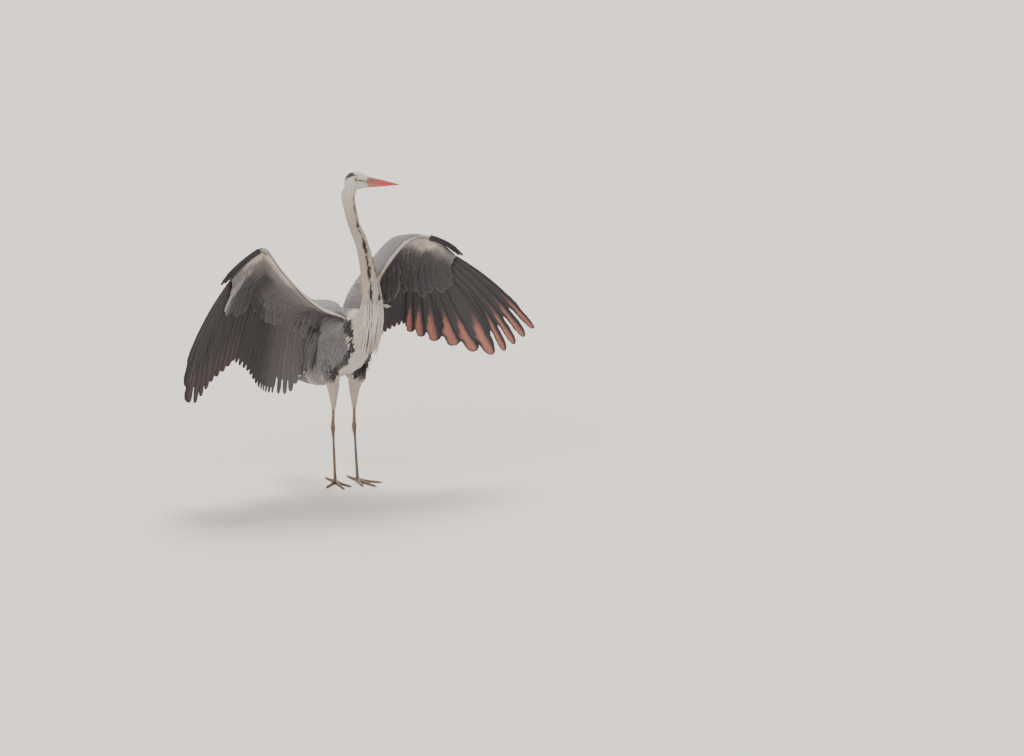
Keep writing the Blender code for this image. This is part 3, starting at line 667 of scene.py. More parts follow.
# ---- materials
FEATHER_LOOKS = {           # barbs along a feather, their contrast, its shaft, sheen, relief
    "body_plumage": (9, 0.16, 0.1, 0.2, 0.25),
    "wing_coverts": (14, 0.2, 0.22, 0.2, 0.25),
    "flight_feathers": (70, 0.22, 0, 0.1, 0.35),
}
BARE_LOOKS = {              # colours, fineness of grain, relief, roughness, coat, spread, length
    "feather_shafts": ("Plumage", 300, 0.2, 0.45, 0, 0.3, 1),
    "heron_skin": ("Plumage", 260, 0.35, 0.62, 0, 0.3, 1),
    "eye_gloss": ("Paint", 900, 0, 0.16, 0, 0.06, 1),
    "lid_skin": ("Paint", 700, 0.5, 0.5, 0, 0.4, 1),
    "bill_keratin": ("Paint", 90, 0.25, 0.38, 0.25, 0.22, 3),
    "nostril_dark": ("Paint", 500, 0.3, 0.6, 0, 0.3, 1),
    "leg_scales": ("Paint", 420, 0.6, 0.55, 0, 0.45, 1),
    "claw_horn": ("Paint", 300, 0.3, 0.32, 0.3, 0.3, 1),
}


def feed(tree, socket, value):
    """Give an input a value, or link it to another node's output."""
    if isinstance(value, bpy.types.NodeSocket):
        tree.links.new(value, socket)
    else:
        socket.default_value = value


def add(tree, kind, inputs, **settings):
    """A shader node's outputs, after its settings and inputs are given."""
    made = tree.nodes.new("ShaderNode" + kind)
    for key, value in settings.items():
        setattr(made, key, value)
    for key, value in inputs.items():
        feed(tree, made.inputs[key], value)
    return made.outputs


def calculate(tree, operation, *values):
    return add(tree, "Math", dict(enumerate(values)), operation=operation)[0]


def blended(tree, share, first, second, how="MIX"):
    return add(tree, "Mix", {0: share, 6: first, 7: second}, data_type="RGBA", blend_type=how)[2]


def dimmed(tree, colour, tone):
    """A colour multiplied by one number."""
    grey = add(tree, "CombineColor", {0: tone, 1: tone, 2: tone})[0]
    return blended(tree, 1, colour, grey, "MULTIPLY")


def barb_group():
    """Fine barbs that slant from a shaft, over the feather's own colour."""
    found = bpy.data.node_groups.get("Feather barbs")
    if found:
        return found
    tree = bpy.data.node_groups.new("Feather barbs", "ShaderNodeTree")
    for way, label, kind, default in (
            ("INPUT", "Colour", "Color", (0.5, 0.5, 0.5, 1)), ("INPUT", "Barbs", "Float", 30),
            ("INPUT", "Contrast", "Float", 0.3), ("INPUT", "Shaft", "Float", 0.3),
            ("OUTPUT", "Colour", "Color", None), ("OUTPUT", "Height", "Float", None),
            ("OUTPUT", "Roughness", "Float", None)):
        socket = tree.interface.new_socket(label, in_out=way, socket_type="NodeSocket" + kind)
        if default is not None:
            socket.default_value = default
    given = tree.nodes.new("NodeGroupInput").outputs
    out = tree.nodes.new("NodeGroupOutput").inputs
    do = partial(calculate, tree)
    across, along = add(tree, "SeparateXYZ", {0: add(tree, "UVMap", {}, uv_map="Vane")[0]})[:2]
    off = do("ABSOLUTE", do("SUBTRACT", across, 0.5))
    slant = do("SUBTRACT", along, do("MULTIPLY", off, 0.35))
    coords = add(tree, "TexCoord", {})["Object"]
    noise = add(tree, "TexNoise", {"Vector": coords, "Scale": 160, "Detail": 4, "Roughness": 0.6})[0]
    wave = do("PINGPONG", do("ADD", do("MULTIPLY", slant, given["Barbs"]), do("MULTIPLY", noise, 2.2)), 1)
    dim = do("MULTIPLY", do("SUBTRACT", 1, wave), given["Contrast"])
    colour = dimmed(tree, given["Colour"], do("SUBTRACT", 1, dim))
    shaft = do("MULTIPLY", do("LESS_THAN", off, 0.035), given["Shaft"])
    colour = blended(tree, shaft, colour, (0.02, 0.018, 0.016, 1))
    mottle = add(tree, "TexNoise", {"Vector": coords, "Scale": 38, "Detail": 3.0})[0]
    feed(tree, out["Colour"], dimmed(tree, colour, do("MULTIPLY_ADD", mottle, 0.24, 0.88)))
    feed(tree, out["Height"], do("ADD", do("MULTIPLY", wave, 0.6), do("MULTIPLY", noise, 0.4)))
    feed(tree, out["Roughness"], do("MULTIPLY_ADD", noise, 0.25, 0.58))
    return tree


def feather_inputs(tree, barbs, contrast, shaft, sheen, relief):
    """A feather's shader inputs: the markings, with barbs in colour and in relief."""
    barb = tree.nodes.new("ShaderNodeGroup")
    barb.node_tree = barb_group()
    for key, value in (("Barbs", barbs), ("Contrast", contrast), ("Shaft", shaft)):
        barb.inputs[key].default_value = value
    feed(tree, barb.inputs["Colour"], add(tree, "Attribute", {}, attribute_name="Plumage")["Color"])
    bump = add(tree, "Bump", {"Height": barb.outputs["Height"], "Strength": relief,
                              "Distance": 0.0006})[0]
    return {"Base Color": barb.outputs["Colour"], "Roughness": barb.outputs["Roughness"],
            "Normal": bump, "Sheen Weight": sheen, "Sheen Roughness": 0.5, "Specular IOR Level": 0.3}


def bare_inputs(tree, attribute, scale, relief, rough, coat, spread, length):
    """A bare surface's shader inputs: its painted colour, broken by grain."""
    coords = add(tree, "TexCoord", {})["Object"]
    placed = add(tree, "Mapping", {"Vector": coords, "Scale": (1, 1, length)})[0]
    grain = add(tree, "TexNoise", {"Vector": placed, "Scale": scale, "Detail": 6, "Roughness": 0.65})[0]
    cells = add(tree, "TexVoronoi", {"Vector": placed, "Scale": scale * 1.6})[0]
    tone = calculate(tree, "MULTIPLY_ADD", grain, spread, 1 - spread / 2)
    height = calculate(tree, "ADD", grain, calculate(tree, "MULTIPLY", cells, 0.5))
    bump = add(tree, "Bump", {"Height": height, "Strength": relief, "Distance": 0.0004})[0]
    colour = add(tree, "Attribute", {}, attribute_name=attribute)["Color"]
    return {"Base Color": dimmed(tree, colour, tone), "Normal": bump,
            "Roughness": calculate(tree, "MULTIPLY_ADD", grain, 0.25, rough - 0.12),
            "Coat Weight": coat, "Coat Roughness": 0.25}


def material(name):
    """One of the bird's materials, made the first time that it is asked for."""
    found = bpy.data.materials.get(name)
    if found:
        return found
    made = bpy.data.materials.new(name)
    made.use_nodes = True
    tree = made.node_tree
    inputs = (feather_inputs(tree, *FEATHER_LOOKS[name]) if name in FEATHER_LOOKS
              else bare_inputs(tree, *BARE_LOOKS[name]))
    for key, value in inputs.items():
        feed(tree, tree.nodes["Principled BSDF"].inputs[key], value)
    return made


# ---- skin
FLESH_GROWTH = 0.45         # how far the fleshy solids grow so that they meet
UNDER_WING = np.array([48, 80, 460])    # the thin fold behind each wing's root
HEAD_FINE = (-30.0, -14.0)  # how far forward of the eyes' line each finer net of faces starts
SOCKET_RIM = 5.0            # distance of a socket's rim from the middle of the eye
SKIN_TONE = 0.72            # the skin's colours as a share of the plumage's


def coat_depth(points):
    """How deep the plumage is over the skin, in mm."""
    ahead = to_head(points)[:, 0]
    z = points[:, 2]
    depth = np.interp(z, (205, 240, 330, 470, 560, 820), (0.8, 1.5, 3.6, 4.2, 2.8, 2))
    arm = step(np.abs(points[:, 0]), 62, 84) * step(z, 380, 420)
    depth = depth * (1 - arm) + 1.3 * arm
    in_the_head = step(z, 838, 852)
    face = np.interp(ahead, (-40, 5, 25, 36), (1.9, 1.5, 1, 0.4))
    return depth * (1 - in_the_head) + face * in_the_head


def grow(bm, distances):
    """Move each vertex out along its normal, by millimetres."""
    for vert, distance in zip(bm.verts, distances):
        vert.co += vert.normal * distance * MM


def relax(bm, verts, times):
    for _ in range(times):
        bmesh.ops.smooth_vert(bm, verts=verts, factor=0.5, use_axis_x=True, use_axis_y=True,
                              use_axis_z=True)


def joined_flesh():
    """Copies of the fleshy solids as one mesh, each grown a little so that they meet."""
    bm = bmesh.new()
    for name in FLESH:
        part = bmesh.new()
        part.from_mesh(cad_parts[name].data)
        bmesh.ops.remove_doubles(part, verts=part.verts, dist=1e-6)
        part.normal_update()
        grow(part, [FLESH_GROWTH] * len(part.verts))
        copy = bpy.data.meshes.new("copy")
        part.to_mesh(copy)
        part.free()
        bm.from_mesh(copy)
        bpy.data.meshes.remove(copy)
    mesh = bpy.data.meshes.new("flesh")
    bm.to_mesh(mesh)
    bm.free()
    return mesh


def remeshed(mesh, cell):
    """A bmesh of the mesh's outer shell, in faces of one size."""
    obj = add_object("flesh", mesh)
    cells = obj.modifiers.new("cells", "REMESH")
    cells.mode = "VOXEL"
    cells.voxel_size = cell * MM
    graph = bpy.context.evaluated_depsgraph_get()
    graph.update()
    made = bpy.data.meshes.new_from_object(obj.evaluated_get(graph))
    bpy.data.objects.remove(obj)
    bm = bmesh.new()
    bm.from_mesh(made)
    for used in (mesh, made):
        bpy.data.meshes.remove(used)
    return bm


def shape_face(bm):
    """Eye sockets with rounded rims, a groove before each eye, a soft gape and a brow."""
    places = places_of(bm)
    ahead, left, up = to_head(places).T
    out, ring = np.abs(left), np.hypot(ahead, up)
    ball = EYE_SIDE + np.sqrt(np.maximum(EYE_RADIUS**2 - ring**2, 0))
    rim = (ball + 0.35 - out) * np.exp(-((ring - SOCKET_RIM) / 1.7)**2)
    move = np.where(ring < SOCKET_RIM - 0.6, ball - 2.2 - out, rim) * ((ring < 11) & (out > 6))
    groove = np.exp(-((up + 1.5 + ahead * 0.05) / 2.6)**2 - ((ahead - 18) / 9)**2)
    gape = np.exp(-(up + 8.5)**2) * (ahead > 6)
    brow = np.exp(-((up - 8.5) / 2.4)**2 - ((ahead - 4) / 9)**2)
    move += (-1.5 * groove - 0.7 * gape + 0.9 * brow) * (out > 3)
    moved = in_metres(places + np.outer(np.where(left > 0, move, -move), LEFTWARD))
    face = (ahead >= -16) & (places[:, 2] >= 840)
    for vert, place, on in zip(bm.verts, moved, face):
        if on:
            vert.co = place


def lore_mask(ahead, left, up):
    """1 on the bare lore, a wedge from the eye to the bill's base."""
    half = np.interp(ahead, (4, 8, 22, 36), (0, 2.8, 3.8, 5))
    middle = np.interp(ahead, (4, 22, 36), (-0.8, -3, -4.2))
    return step(half - np.abs(up - middle), -0.6, 0.8) * step(ahead, 3, 7) * step(np.abs(left), 4, 6)


def face_colours(points, colours):
    """Bare skin round the eye and down the lore, over the plumage's own colours, and painted shade along
    the gape.
    """
    ahead, left, up = to_head(points).T
    round_eye = step(-np.hypot(ahead, up), -6, -5.2) * step(np.abs(left), 8, 10)
    colours = mix(colours, LORE, np.maximum(lore_mask(ahead, left, up), round_eye))
    spot = np.exp(-((ahead - 10) / 6.5)**2 - ((up + 0.6) / 2)**2)
    colours = mix(colours, DARK_SKIN, np.clip(spot * 1.5, 0, 0.92))
    # Painted shade: a dark line in the crease of the gape.
    mouth = np.exp(-((up + 8.4) / 0.8)**2) * step(ahead, 4, 8)
    return mix(colours, (0.16, 0.1, 0.08), mouth * 0.8)


def build_skin(cell):
    bm = remeshed(joined_flesh(), cell)
    relax(bm, bm.verts, 3)
    bm.normal_update()
    places = places_of(bm)
    thin = np.exp(-((folded_over(places) - UNDER_WING) / (26, 28, 24))**2).prod(axis=1)
    grow(bm, (2.6 * thin - coat_depth(places) - FLESH_GROWTH).tolist())
    x, y, z = np.abs(places_of(bm)).T
    by_thigh = (x > 30) & (y < 52) & (z > 322) & (z < 374)
    relax(bm, [vert for vert, on in zip(bm.verts, by_thigh) if on], 14)
    for limit in HEAD_FINE:
        places = places_of(bm)
        inside = (to_head(places)[:, 0] > limit) & (places[:, 2] > 842)
        bm.verts.index_update()
        edges = [edge for edge in bm.edges if all(inside[vert.index] for vert in edge.verts)]
        bmesh.ops.subdivide_edges(bm, edges=edges, cuts=1, smooth=1.0, use_grid_fill=True)
    bmesh.ops.triangulate(bm, faces=[face for face in bm.faces if len(face.verts) > 4])
    shape_face(bm)
    mesh = mesh_from("skin", bm, from_mm=False)
    normals = np.empty(len(mesh.vertices) * 3, np.float32)
    mesh.vertices.foreach_get("normal", normals)
    points = points_of(mesh)
    colours = plumage_colour(points, normals.reshape(-1, 3)) * SKIN_TONE
    paint(mesh, "Plumage", face_colours(points, colours))
    attach(mesh, "heron_skin", "grey_plumage", *FLESH)


# ---- tracts of body feathers
NAPE_END = (-54.8, -18, 1.5, 2.5)       # a last section that closes the coat at the nape


def tract(sections, start, stop, spacing, hint, rng, axis):
    """Staggered places on rings round a path, the path's directions there and an unwrap.

    spacing is the distance between neighbours at some of the sections. axis fixes the rings'
    direction. The unwrap is the angle round the path and the share of its length.
    """
    keys = np.arange(len(sections))
    sign = 1 if stop > start else -1
    a, found, odd = float(start), [], 0
    while (stop - a) * sign > 0:
        row = smooth(keys, sections, a)[0]
        near = smooth(keys, sections, np.clip([a - 0.05, a + 0.05], 0, keys[-1]))[:, :3]
        run = unit((near[1] - near[0]) * sign) if axis is None else axis
        side = unit(np.cross(run, hint))
        up = np.cross(side, run)
        gap = np.interp(a, *spacing)
        around = 2 * math.pi * math.sqrt((row[3]**2 + row[4]**2) / 2)
        count = max(5, int(around / gap))
        angle = np.arange(count) + 0.5 * odd + rng.uniform(-0.3, 0.3, count)
        angle *= 2 * math.pi / count
        lag = rng.uniform(-0.3, 0.3, count) * gap
        ring = row[:3] + np.outer(np.cos(angle) * row[3], side) \
            + np.outer(np.sin(angle) * row[4], up) + lag[:, None] * run
        found.append((ring, np.tile(run, (count, 1)),
                      columns((angle / (2 * math.pi)) % 1, (a - start) / (stop - start))))
        pace = np.linalg.norm(near[1] - near[0]) / 0.1
        a += sign * gap * 0.87 / max(pace, 4)
        odd = 1 - odd
    return [np.vstack(part) for part in zip(*found)]


def body_tract(name, tree, sections, start, stop, spacing, density, hint, sizes, rng, slot,
               lie=None, keep=None, reach=4.0, axis=None, **more):
    """One piece of coat, laid round the path between two of its sections.

    sizes(points) gives each feather's length and half width, and lie(points, runs) its way.
    """
    spacing = (spacing[0], np.divide(spacing[1], density))
    places, runs, unwrap = tract(sections, start, stop, spacing, hint, rng, axis)
    roots, normals, gaps = nearest(tree, places)
    depth = coat_depth(roots)
    good = gaps < depth + reach
    if keep is not None:
        good &= keep(roots, normals)
    roots, normals, runs, unwrap, depth = (v[good] for v in (roots, normals, runs, unwrap, depth))
    direction = flatten(runs if lie is None else lie(roots, runs), normals)
    sideways = np.cross(direction, normals)
    count = len(roots)
    direction = unit(direction + sideways * rng.normal(0, 0.1, (count, 1)))
    length, width = sizes(roots)
    length = length * rng.uniform(0.85, 1.15, count)
    width = width * rng.uniform(0.88, 1.12, count)
    small_vanes(name, slot, tree, roots, direction, length, width, depth * rng.uniform(0.85, 1.1, count),
                plumage_colour(roots, normals), unwrap, rng, **more)


def bare_face(roots, _normals=None):
    """False where the face has no feathers."""
    ahead, left, up = to_head(roots).T
    by_eye = (np.hypot(ahead, up) < SOCKET_RIM) & (np.abs(left) > 7)
    return ~(by_eye | (lore_mask(ahead, left, up) > 0.3))


def coat_head(tree, density, rng):
    """Short feathers from the bill's base back over the crown and cheeks."""
    sections = [(*in_head((ahead, 0, up)), wide, high)
                for ahead, up, wide, high in HEAD[::-1] + [NAPE_END]]

    def sizes(points):
        ahead, left, up = to_head(points).T
        length = np.interp(ahead, (-50, -20, 10, 34), (10.5, 8.5, 5.5, 3.4))
        by_eye = step(-np.hypot(ahead, up), -11.5, -6) * step(np.abs(left), 7, 9)
        length = length * (1 - 0.52 * by_eye)
        return length, np.maximum(length * 0.13, 0.55)

    def lie(points, runs):
        ahead, left, up = to_head(points).T
        ring = np.maximum(np.hypot(ahead, up), 1)
        away = (np.outer(ahead, AHEAD) + np.outer(up, HEADUP)) / ring[:, None]
        away = away * (step(-ring, -13, -6) * step(np.abs(left), 6, 9))[:, None]
        fall = step(-ahead, 36, 47)[:, None]
        along = runs - np.outer(np.where(up < 0, 0.25, -0.12), HEADUP) + away * 1.3
        return along * (1 - 0.8 * fall) - HEADUP * fall * 1.4

    body_tract("coat_head", tree, sections, 0, 8.9,
               ((0, 3, 5.8, 7, 9), (1.05, 1.35, 1.6, 1.1, 0.9)), density, HEADUP, sizes, rng,
               "white_plumage", lie, bare_face, 3, -AHEAD, **TINY, thick=0.25)


def coat_eye_ring(side, tree, rng):
    """Minute feathers that line the hollow round an eyelid and lie away from it."""
    rings, count, inner, outer = 9, 44, 5.8, 9.4
    sign = SIDES[side]
    radius = np.repeat(np.linspace(inner, outer, rings), count)
    angle = np.tile(np.linspace(0, 2 * math.pi, count, endpoint=False), rings)
    angle = angle + np.repeat(np.arange(rings) % 2, count) * math.pi / count \
        + rng.normal(0, 0.03, len(radius))
    outside = in_head(columns(radius * np.cos(angle), sign * 26, radius * np.sin(angle)))
    hits = [tree.ray_cast(place, Vector(-LEFTWARD * sign)) for place in outside.tolist()]
    roots, normals = (np.array([hit[k] for hit in hits]) for k in (0, 1))
    keep = bare_face(roots) & (np.abs(normals @ LEFTWARD) > 0.3)
    roots, normals, angle, radius = (v[keep] for v in (roots, normals, angle, radius))
    away = np.outer(np.cos(angle) - 0.35, AHEAD) + np.outer(np.sin(angle), HEADUP)
    length = rng.uniform(2.4, 3.4, len(roots)) + 0.25 * (radius - inner)
    uv = columns(angle / (2 * math.pi), (radius - 5) / 5)
    small_vanes("coat_eye_" + side, "white_plumage", tree, roots, flatten(away, normals), length,
                np.full(len(roots), 0.5), 1, plumage_colour(roots, normals), uv, rng, **TINY, thick=0.25)


def coat_neck(tree, density, rng):
    def sizes(points):
        length = np.interp(points[:, 2], (450, 560, 700, 850), (28, 22, 17, 12))
        return length, length * np.interp(points[:, 2], (450, 560, 850), (0.12, 0.09, 0.1))

    body_tract("coat_neck", tree, NECK, 0.25, 9.9, ((0, 3, 7, 10), (2, 2.2, 2.6, 4.2)),
               density, FRONT, sizes, rng, "white_plumage", **TINY, thick=0.3)


def trunk_keep(roots, normals):
    """Leaves out the trunk's blunt end, the crotch and the fold under each wing's root."""
    x, y, z = np.abs(roots[:, 0]), roots[:, 1], roots[:, 2]
    bare = (normals @ unit(TAIL_TIP - TAIL_ROOT) > 0.8) | ((x < 32) & (y > -22) & (y < 48) & (z < 313))
    return ~(bare | ((x > 38) & (z > 476) & (y < -60)))


def coat_trunk(tree, density, rng):
    def sizes(points):
        length = np.interp(points[:, 1], (-130, -60, 60, 160, 215), (24, 30, 38, 44, 48))
        crotch = step(-points[:, 2], -318, -300) * step(-np.abs(points[:, 1] - 8), -55, -38)
        length = length * (1 - 0.6 * crotch)
        return length, length * np.interp(points[:, 1], (-130, 60, 215), (0.14, 0.15, 0.12))

    def lie(points, runs):
        droop = np.interp(points[:, 1], (-130, -40, 120), (-1.6, -0.5, -0.1))
        ahead = unit(runs + np.outer(droop, UP))
        home = unit(TAIL_TIP + (0, -12, 0) - points)
        return mix(ahead, home, step(points[:, 1], 120, 200))

    body_tract("coat_trunk", tree, TRUNK, 0.02, 9.8, ((0, 1, 4, 7, 10), (3.8, 4.4, 5.4, 5.6, 4.2)),
               density, UP, sizes, rng, "grey_plumage", lie, trunk_keep, loose=0.25)


def coat_thigh(side, tree, density, rng):
    def sizes(points):
        length = np.interp(points[:, 2], (212, 240, 330), (8, 13, 26))
        return length, length * 0.12

    body_tract("coat_thigh_" + side, tree, THIGHS[side], 0.1, 4,
               ((0, 2, 4), (3.5, 2.8, 1.8)), density, FRONT, sizes, rng, "pale_plumage",
               keep=lambda roots, normals: roots[:, 2] < 345, reach=3.0, **TINY)


# ---- wing surface and coverts
SPREAD = np.linspace(-0.55, 0.55, 7)    # stations over which the quills' ways are averaged
COVERT_WIDTH = 0.19         # half width as a share of the length
COVERT_ROWS = [0, 2, 4, 5, 6]
ALONG_HAND = 7              # borders of primaries along the hand; the others go round its end
ROUND_END = np.array([1.0, 0.78, 0.55, 0.3, 0.0])


def wing_middle(wing, station, share):
    """The arched middle surface: share 0 at the leading edge, 1 at the coverts' edge."""
    keys = np.arange(len(wing["lead"]))
    station = np.clip(station, 0, HAND_END)
    lead, crest, covert = (smooth(keys, wing[line], station) for line in ("lead", "crest", "covert"))
    before = span_of(crest - lead)
    after = span_of(covert - crest)
    t = np.clip(before / (before + after), *CREST_SHARES)[:, None]
    control = (crest - (1 - t)**2 * lead - t**2 * covert) / (2 * t * (1 - t))
    s = np.broadcast_to(np.asarray(share, float), np.shape(station))[:, None]
    return (1 - s)**2 * lead + 2 * s * (1 - s) * control + s**2 * covert


def wing_place(wing, station, share, upper):
    """Places on one face of the arm, with the chord, span and outward directions there."""
    here = wing_middle(wing, station, share)
    chord = unit(wing_middle(wing, station, share + 0.02) - wing_middle(wing, station, share - 0.02))
    span = unit(wing_middle(wing, station + 0.05, share) - wing_middle(wing, station - 0.05, share))
    normal = unit(np.cross(chord, span))
    normal *= np.sign(normal @ WING_BACK)[:, None] * (1 if upper else -1)
    depth = np.interp(station, np.arange(len(ARM_DEPTH)), ARM_DEPTH)
    share = np.clip(share, 0, 1)
    half = 1.0 + depth * 2.0 * np.sqrt(share) * (1 - share)**1.25
    return here + normal * half[:, None], chord, span, normal


def along_wing(side, measure):
    """Stations from the body out to the hand's end, a measure of the quills' curves there, and
    the measures of all the primaries, the last of which stand round the hand's end.
    """
    found = {label: measure(*curves[:3]) for label, curves in remige_borders(side).items()}
    inner = np.concatenate([found["secondaries"], found["tertials"][1:]])[::-1]
    stops = np.concatenate([np.linspace(SHOULDER - 0.2, WRIST - 0.01, len(inner)),
                            np.linspace(WRIST + 0.01, HAND_END, ALONG_HAND)])
    outer = found["primaries"]
    return stops, np.concatenate([inner, outer[:ALONG_HAND]]), outer


def quill_directions(side, station, share):
    """The way that the flight feathers near each place on the arm leave the wing."""
    stops, ways, outer = along_wing(side, lambda roots, controls, tips: unit(controls - roots))
    end = rows_at(share, ROUND_END[::-1], outer[:ALONG_HAND - 2:-1])
    total = 0
    for off in SPREAD:
        near = np.clip(station + off, 0, HAND_END)
        way = mix(rows_at(near, stops, ways), end, step(near, HAND_END - 0.9, HAND_END))
        total = total + unit(way)
    return unit(total)


def quill_paths(side, station, reach):
    """How far the flight feathers have moved from their roots at each reach."""
    def path(roots, controls, tips):
        ends = np.vstack([tips, tips[-1:]])
        length = span_of(controls - roots) + span_of(ends - controls)
        t = (reach / length[:, None])[..., None]
        return ((1 - t)**2 - 1) * roots[:, None] + 2 * t * (1 - t) * controls[:, None] \
            + t**2 * ends[:, None]

    stops, paths, _ = along_wing(side, path)
    near = np.clip(station[:, None] + SPREAD, stops[0], stops[-1])
    found = rows_at(near, stops, paths.reshape(len(stops), -1)).mean(axis=1)
    return found.reshape(len(station), len(reach), 3)


def covert_surface(side, upper):
    """One face of the arm, carried on over the bases of the flight feathers."""
    around, across = np.meshgrid(np.linspace(-0.2, HAND_END, 90), np.linspace(0, 1, 14), indexing="ij")
    grid = wing_place(WINGS[side], around.ravel(), across.ravel(), upper)[0]
    grid = grid.reshape(*around.shape, 3)
    onward = quill_paths(side, around[:, 0], np.linspace(12, 108, 9))
    grid = np.concatenate([grid, grid[:, -1:] + onward], axis=1)
    for _ in range(14):
        grid[1:-1] = (grid[:-2] + 2 * grid[1:-1] + grid[2:]) / 4
    return tree_of_grid(grid)


def covert_rows(wing, reach, density, rng):
    """Each covert's station, its share of the way back over the arm, and its length."""
    here = np.linspace(0.1, HAND_END, 200)
    half = len(here) // 2
    found, share, odd = [], 0, 0
    while share < 0.985:
        length = 8.0 + reach * share**1.2
        gap = max(length * COVERT_WIDTH, 1.9) * 1.1 / density
        row = wing_middle(wing, here, share)
        run = run_along(row)
        count = int(run[-1] / gap)
        spots = (np.arange(count) + 0.5 * odd + rng.uniform(-0.22, 0.22, count)) * gap
        found.append((np.interp(spots, run, here), share + rng.uniform(-0.006, 0.006, count),
                      np.full(count, length)))
        chord = np.linalg.norm(row[half] - wing_middle(wing, here[half:half + 1], 1)[0])
        whole = chord / max(1 - share, 0.05)
        share += length * 0.26 / density / whole
        odd = 1 - odd
    return [np.concatenate(part) for part in zip(*found)]


def coverts(side, upper, density, rng):
    """Rows of coverts from the leading edge back, longer row by row."""
    wing = WINGS[side]
    station, share, length = covert_rows(wing, 66.0 if upper else 74, density, rng)
    count = len(station)
    roots, chord, span, normal = wing_place(wing, station, np.clip(share, 0, 1), upper)
    outward = np.interp(station, (0.5, 2, 4.5, 5.5, 7), (-0.15, 0, 0.2, 0.45, 0.8))
    hand = step(station, WRIST, WRIST + 0.8)
    along = step(share, 0.45 - 0.4 * hand, 0.9 - 0.45 * hand)
    direction = flatten(mix(unit(chord + span * outward[:, None]),
                            quill_directions(side, station, share), along), normal)
    direction = unit(direction + span * rng.normal(0, 0.035, (count, 1)))
    breadth = span_of(wing_middle(wing, station, 1) - wing_middle(wing, station, 0))
    length = length * np.clip(breadth / 150, 0.42, 1) * rng.uniform(0.9, 1.1, count)
    length = length * (1 + 0.55 * hand * step(share, 0.55, 0.95))
    uv = columns(station / HAND_END, share) * 0.96 + 0.02
    small_vanes(f"coverts_{'upper' if upper else 'under'}_{side}", "grey_plumage",
                covert_surface(side, upper), roots, direction, length,
                np.maximum(length * COVERT_WIDTH, 1.8), 1.4 + 1.2 * share,
                wing_colour(roots, np.full(count, upper)), uv, rng, ROUND_SHAPE[COVERT_ROWS],
                LONG_ROWS[COVERT_ROWS], camber=0.12, edge=0.12 if upper else 0.06, root_depth=0.4,
                facing=normal, look="wing_coverts")


# ---- flight feathers
BLADE_ROWS = np.concatenate([np.linspace(0, 0.6, 10), np.linspace(0.64, 0.985, 15)])
BLADE_COLUMNS = 9
BLADE_CAMBER = 0.05         # arch across a blade, as a share of its half width
BLADE_NOTCH = 0.05          # unevenness of a blade's edge, as a share of its half width
SHAFT_DEPTH = 2.4


def quill_roots(wing, stations):
    """Where quills leave the arm's back edge, and the way that its surface runs there."""
    low = np.floor(stations * 3 + 1e-9) / 3
    high = np.minimum(low + 1 / 3, HAND_END)
    share = np.where(high > low, (stations - low) / np.maximum(high - low, 1e-9), 0)[:, None]
    places, runs = 0, 0
    for at, weight in ((low, 1 - share), (high, share)):
        end = wing_middle(wing, at, 1)
        places = places + end * weight
        runs = runs + unit(end - wing_middle(wing, at, 0.97)) * weight
    return places + unit(runs) * 0.9, unit(runs)


def numbered_tips(given, count):
    """Tips of feathers 1 to count, on a smooth line through those of the given numbers."""
    return smooth(list(given), list(given.values()), np.arange(1, count + 1))


def bent(roots, runs, tips, share):
    """Control points of the borders, which set out along runs and end between the tips."""
    ends = np.vstack([tips[0], (tips[:-1] + tips[1:]) / 2, tips[-1]])
    reach = ends - roots
    length = span_of(reach)[:, None]
    return roots + unit(runs + unit(reach)) * length * share


def remige_borders(side):
    """Borders between the wing's flight feathers, as the solids have them.

    For each kind: the borders' roots and control points, the feathers' tips, and the share of
    its length over which each border stays joined.
    """
    wing = WINGS[side]
    roots, runs = quill_roots(wing, np.linspace(WRIST + 0.01, HAND_END, ALONG_HAND))
    last = np.full(len(ROUND_END), float(HAND_END))
    end = wing_middle(wing, last, ROUND_END)
    outward = unit(end - wing_middle(wing, last - 1, ROUND_END))
    roots = np.vstack([roots[:-1], end + outward * 1.8])
    runs = np.vstack([runs[:-1], outward])
    tips = numbered_tips(wing["primary"], PRIMARIES)
    controls = bent(roots, runs * 0.43, tips, 0.46)
    front = 2 * np.array(wing["front"]) - (roots[-1] + tips[-1]) / 2
    controls = controls + np.linspace(0, 1, PRIMARIES + 1)[:, None]**2 * (front - controls[-1])
    joined = np.linspace(*wing["slots"], PRIMARIES + 1)
    joined[-1] = 0.72
    rows = {"primaries": (roots, controls, tips, joined)}
    total = SECONDARIES + TERTIALS
    roots, runs = quill_roots(wing, np.linspace(WRIST - 0.01, SHOULDER - 0.2, total + 1))
    tips = numbered_tips(wing["secondary"], total)
    controls = bent(roots, runs * 0.55, tips, 0.45)
    for label, first, last, slot in (("secondaries", 0, SECONDARIES, 0.9),
                                     ("tertials", SECONDARIES, total, 0.78)):
        pick = slice(first, last + 1)
        rows[label] = (roots[pick], controls[pick], tips[first:last], np.full(last - first + 1, slot))
    return rows


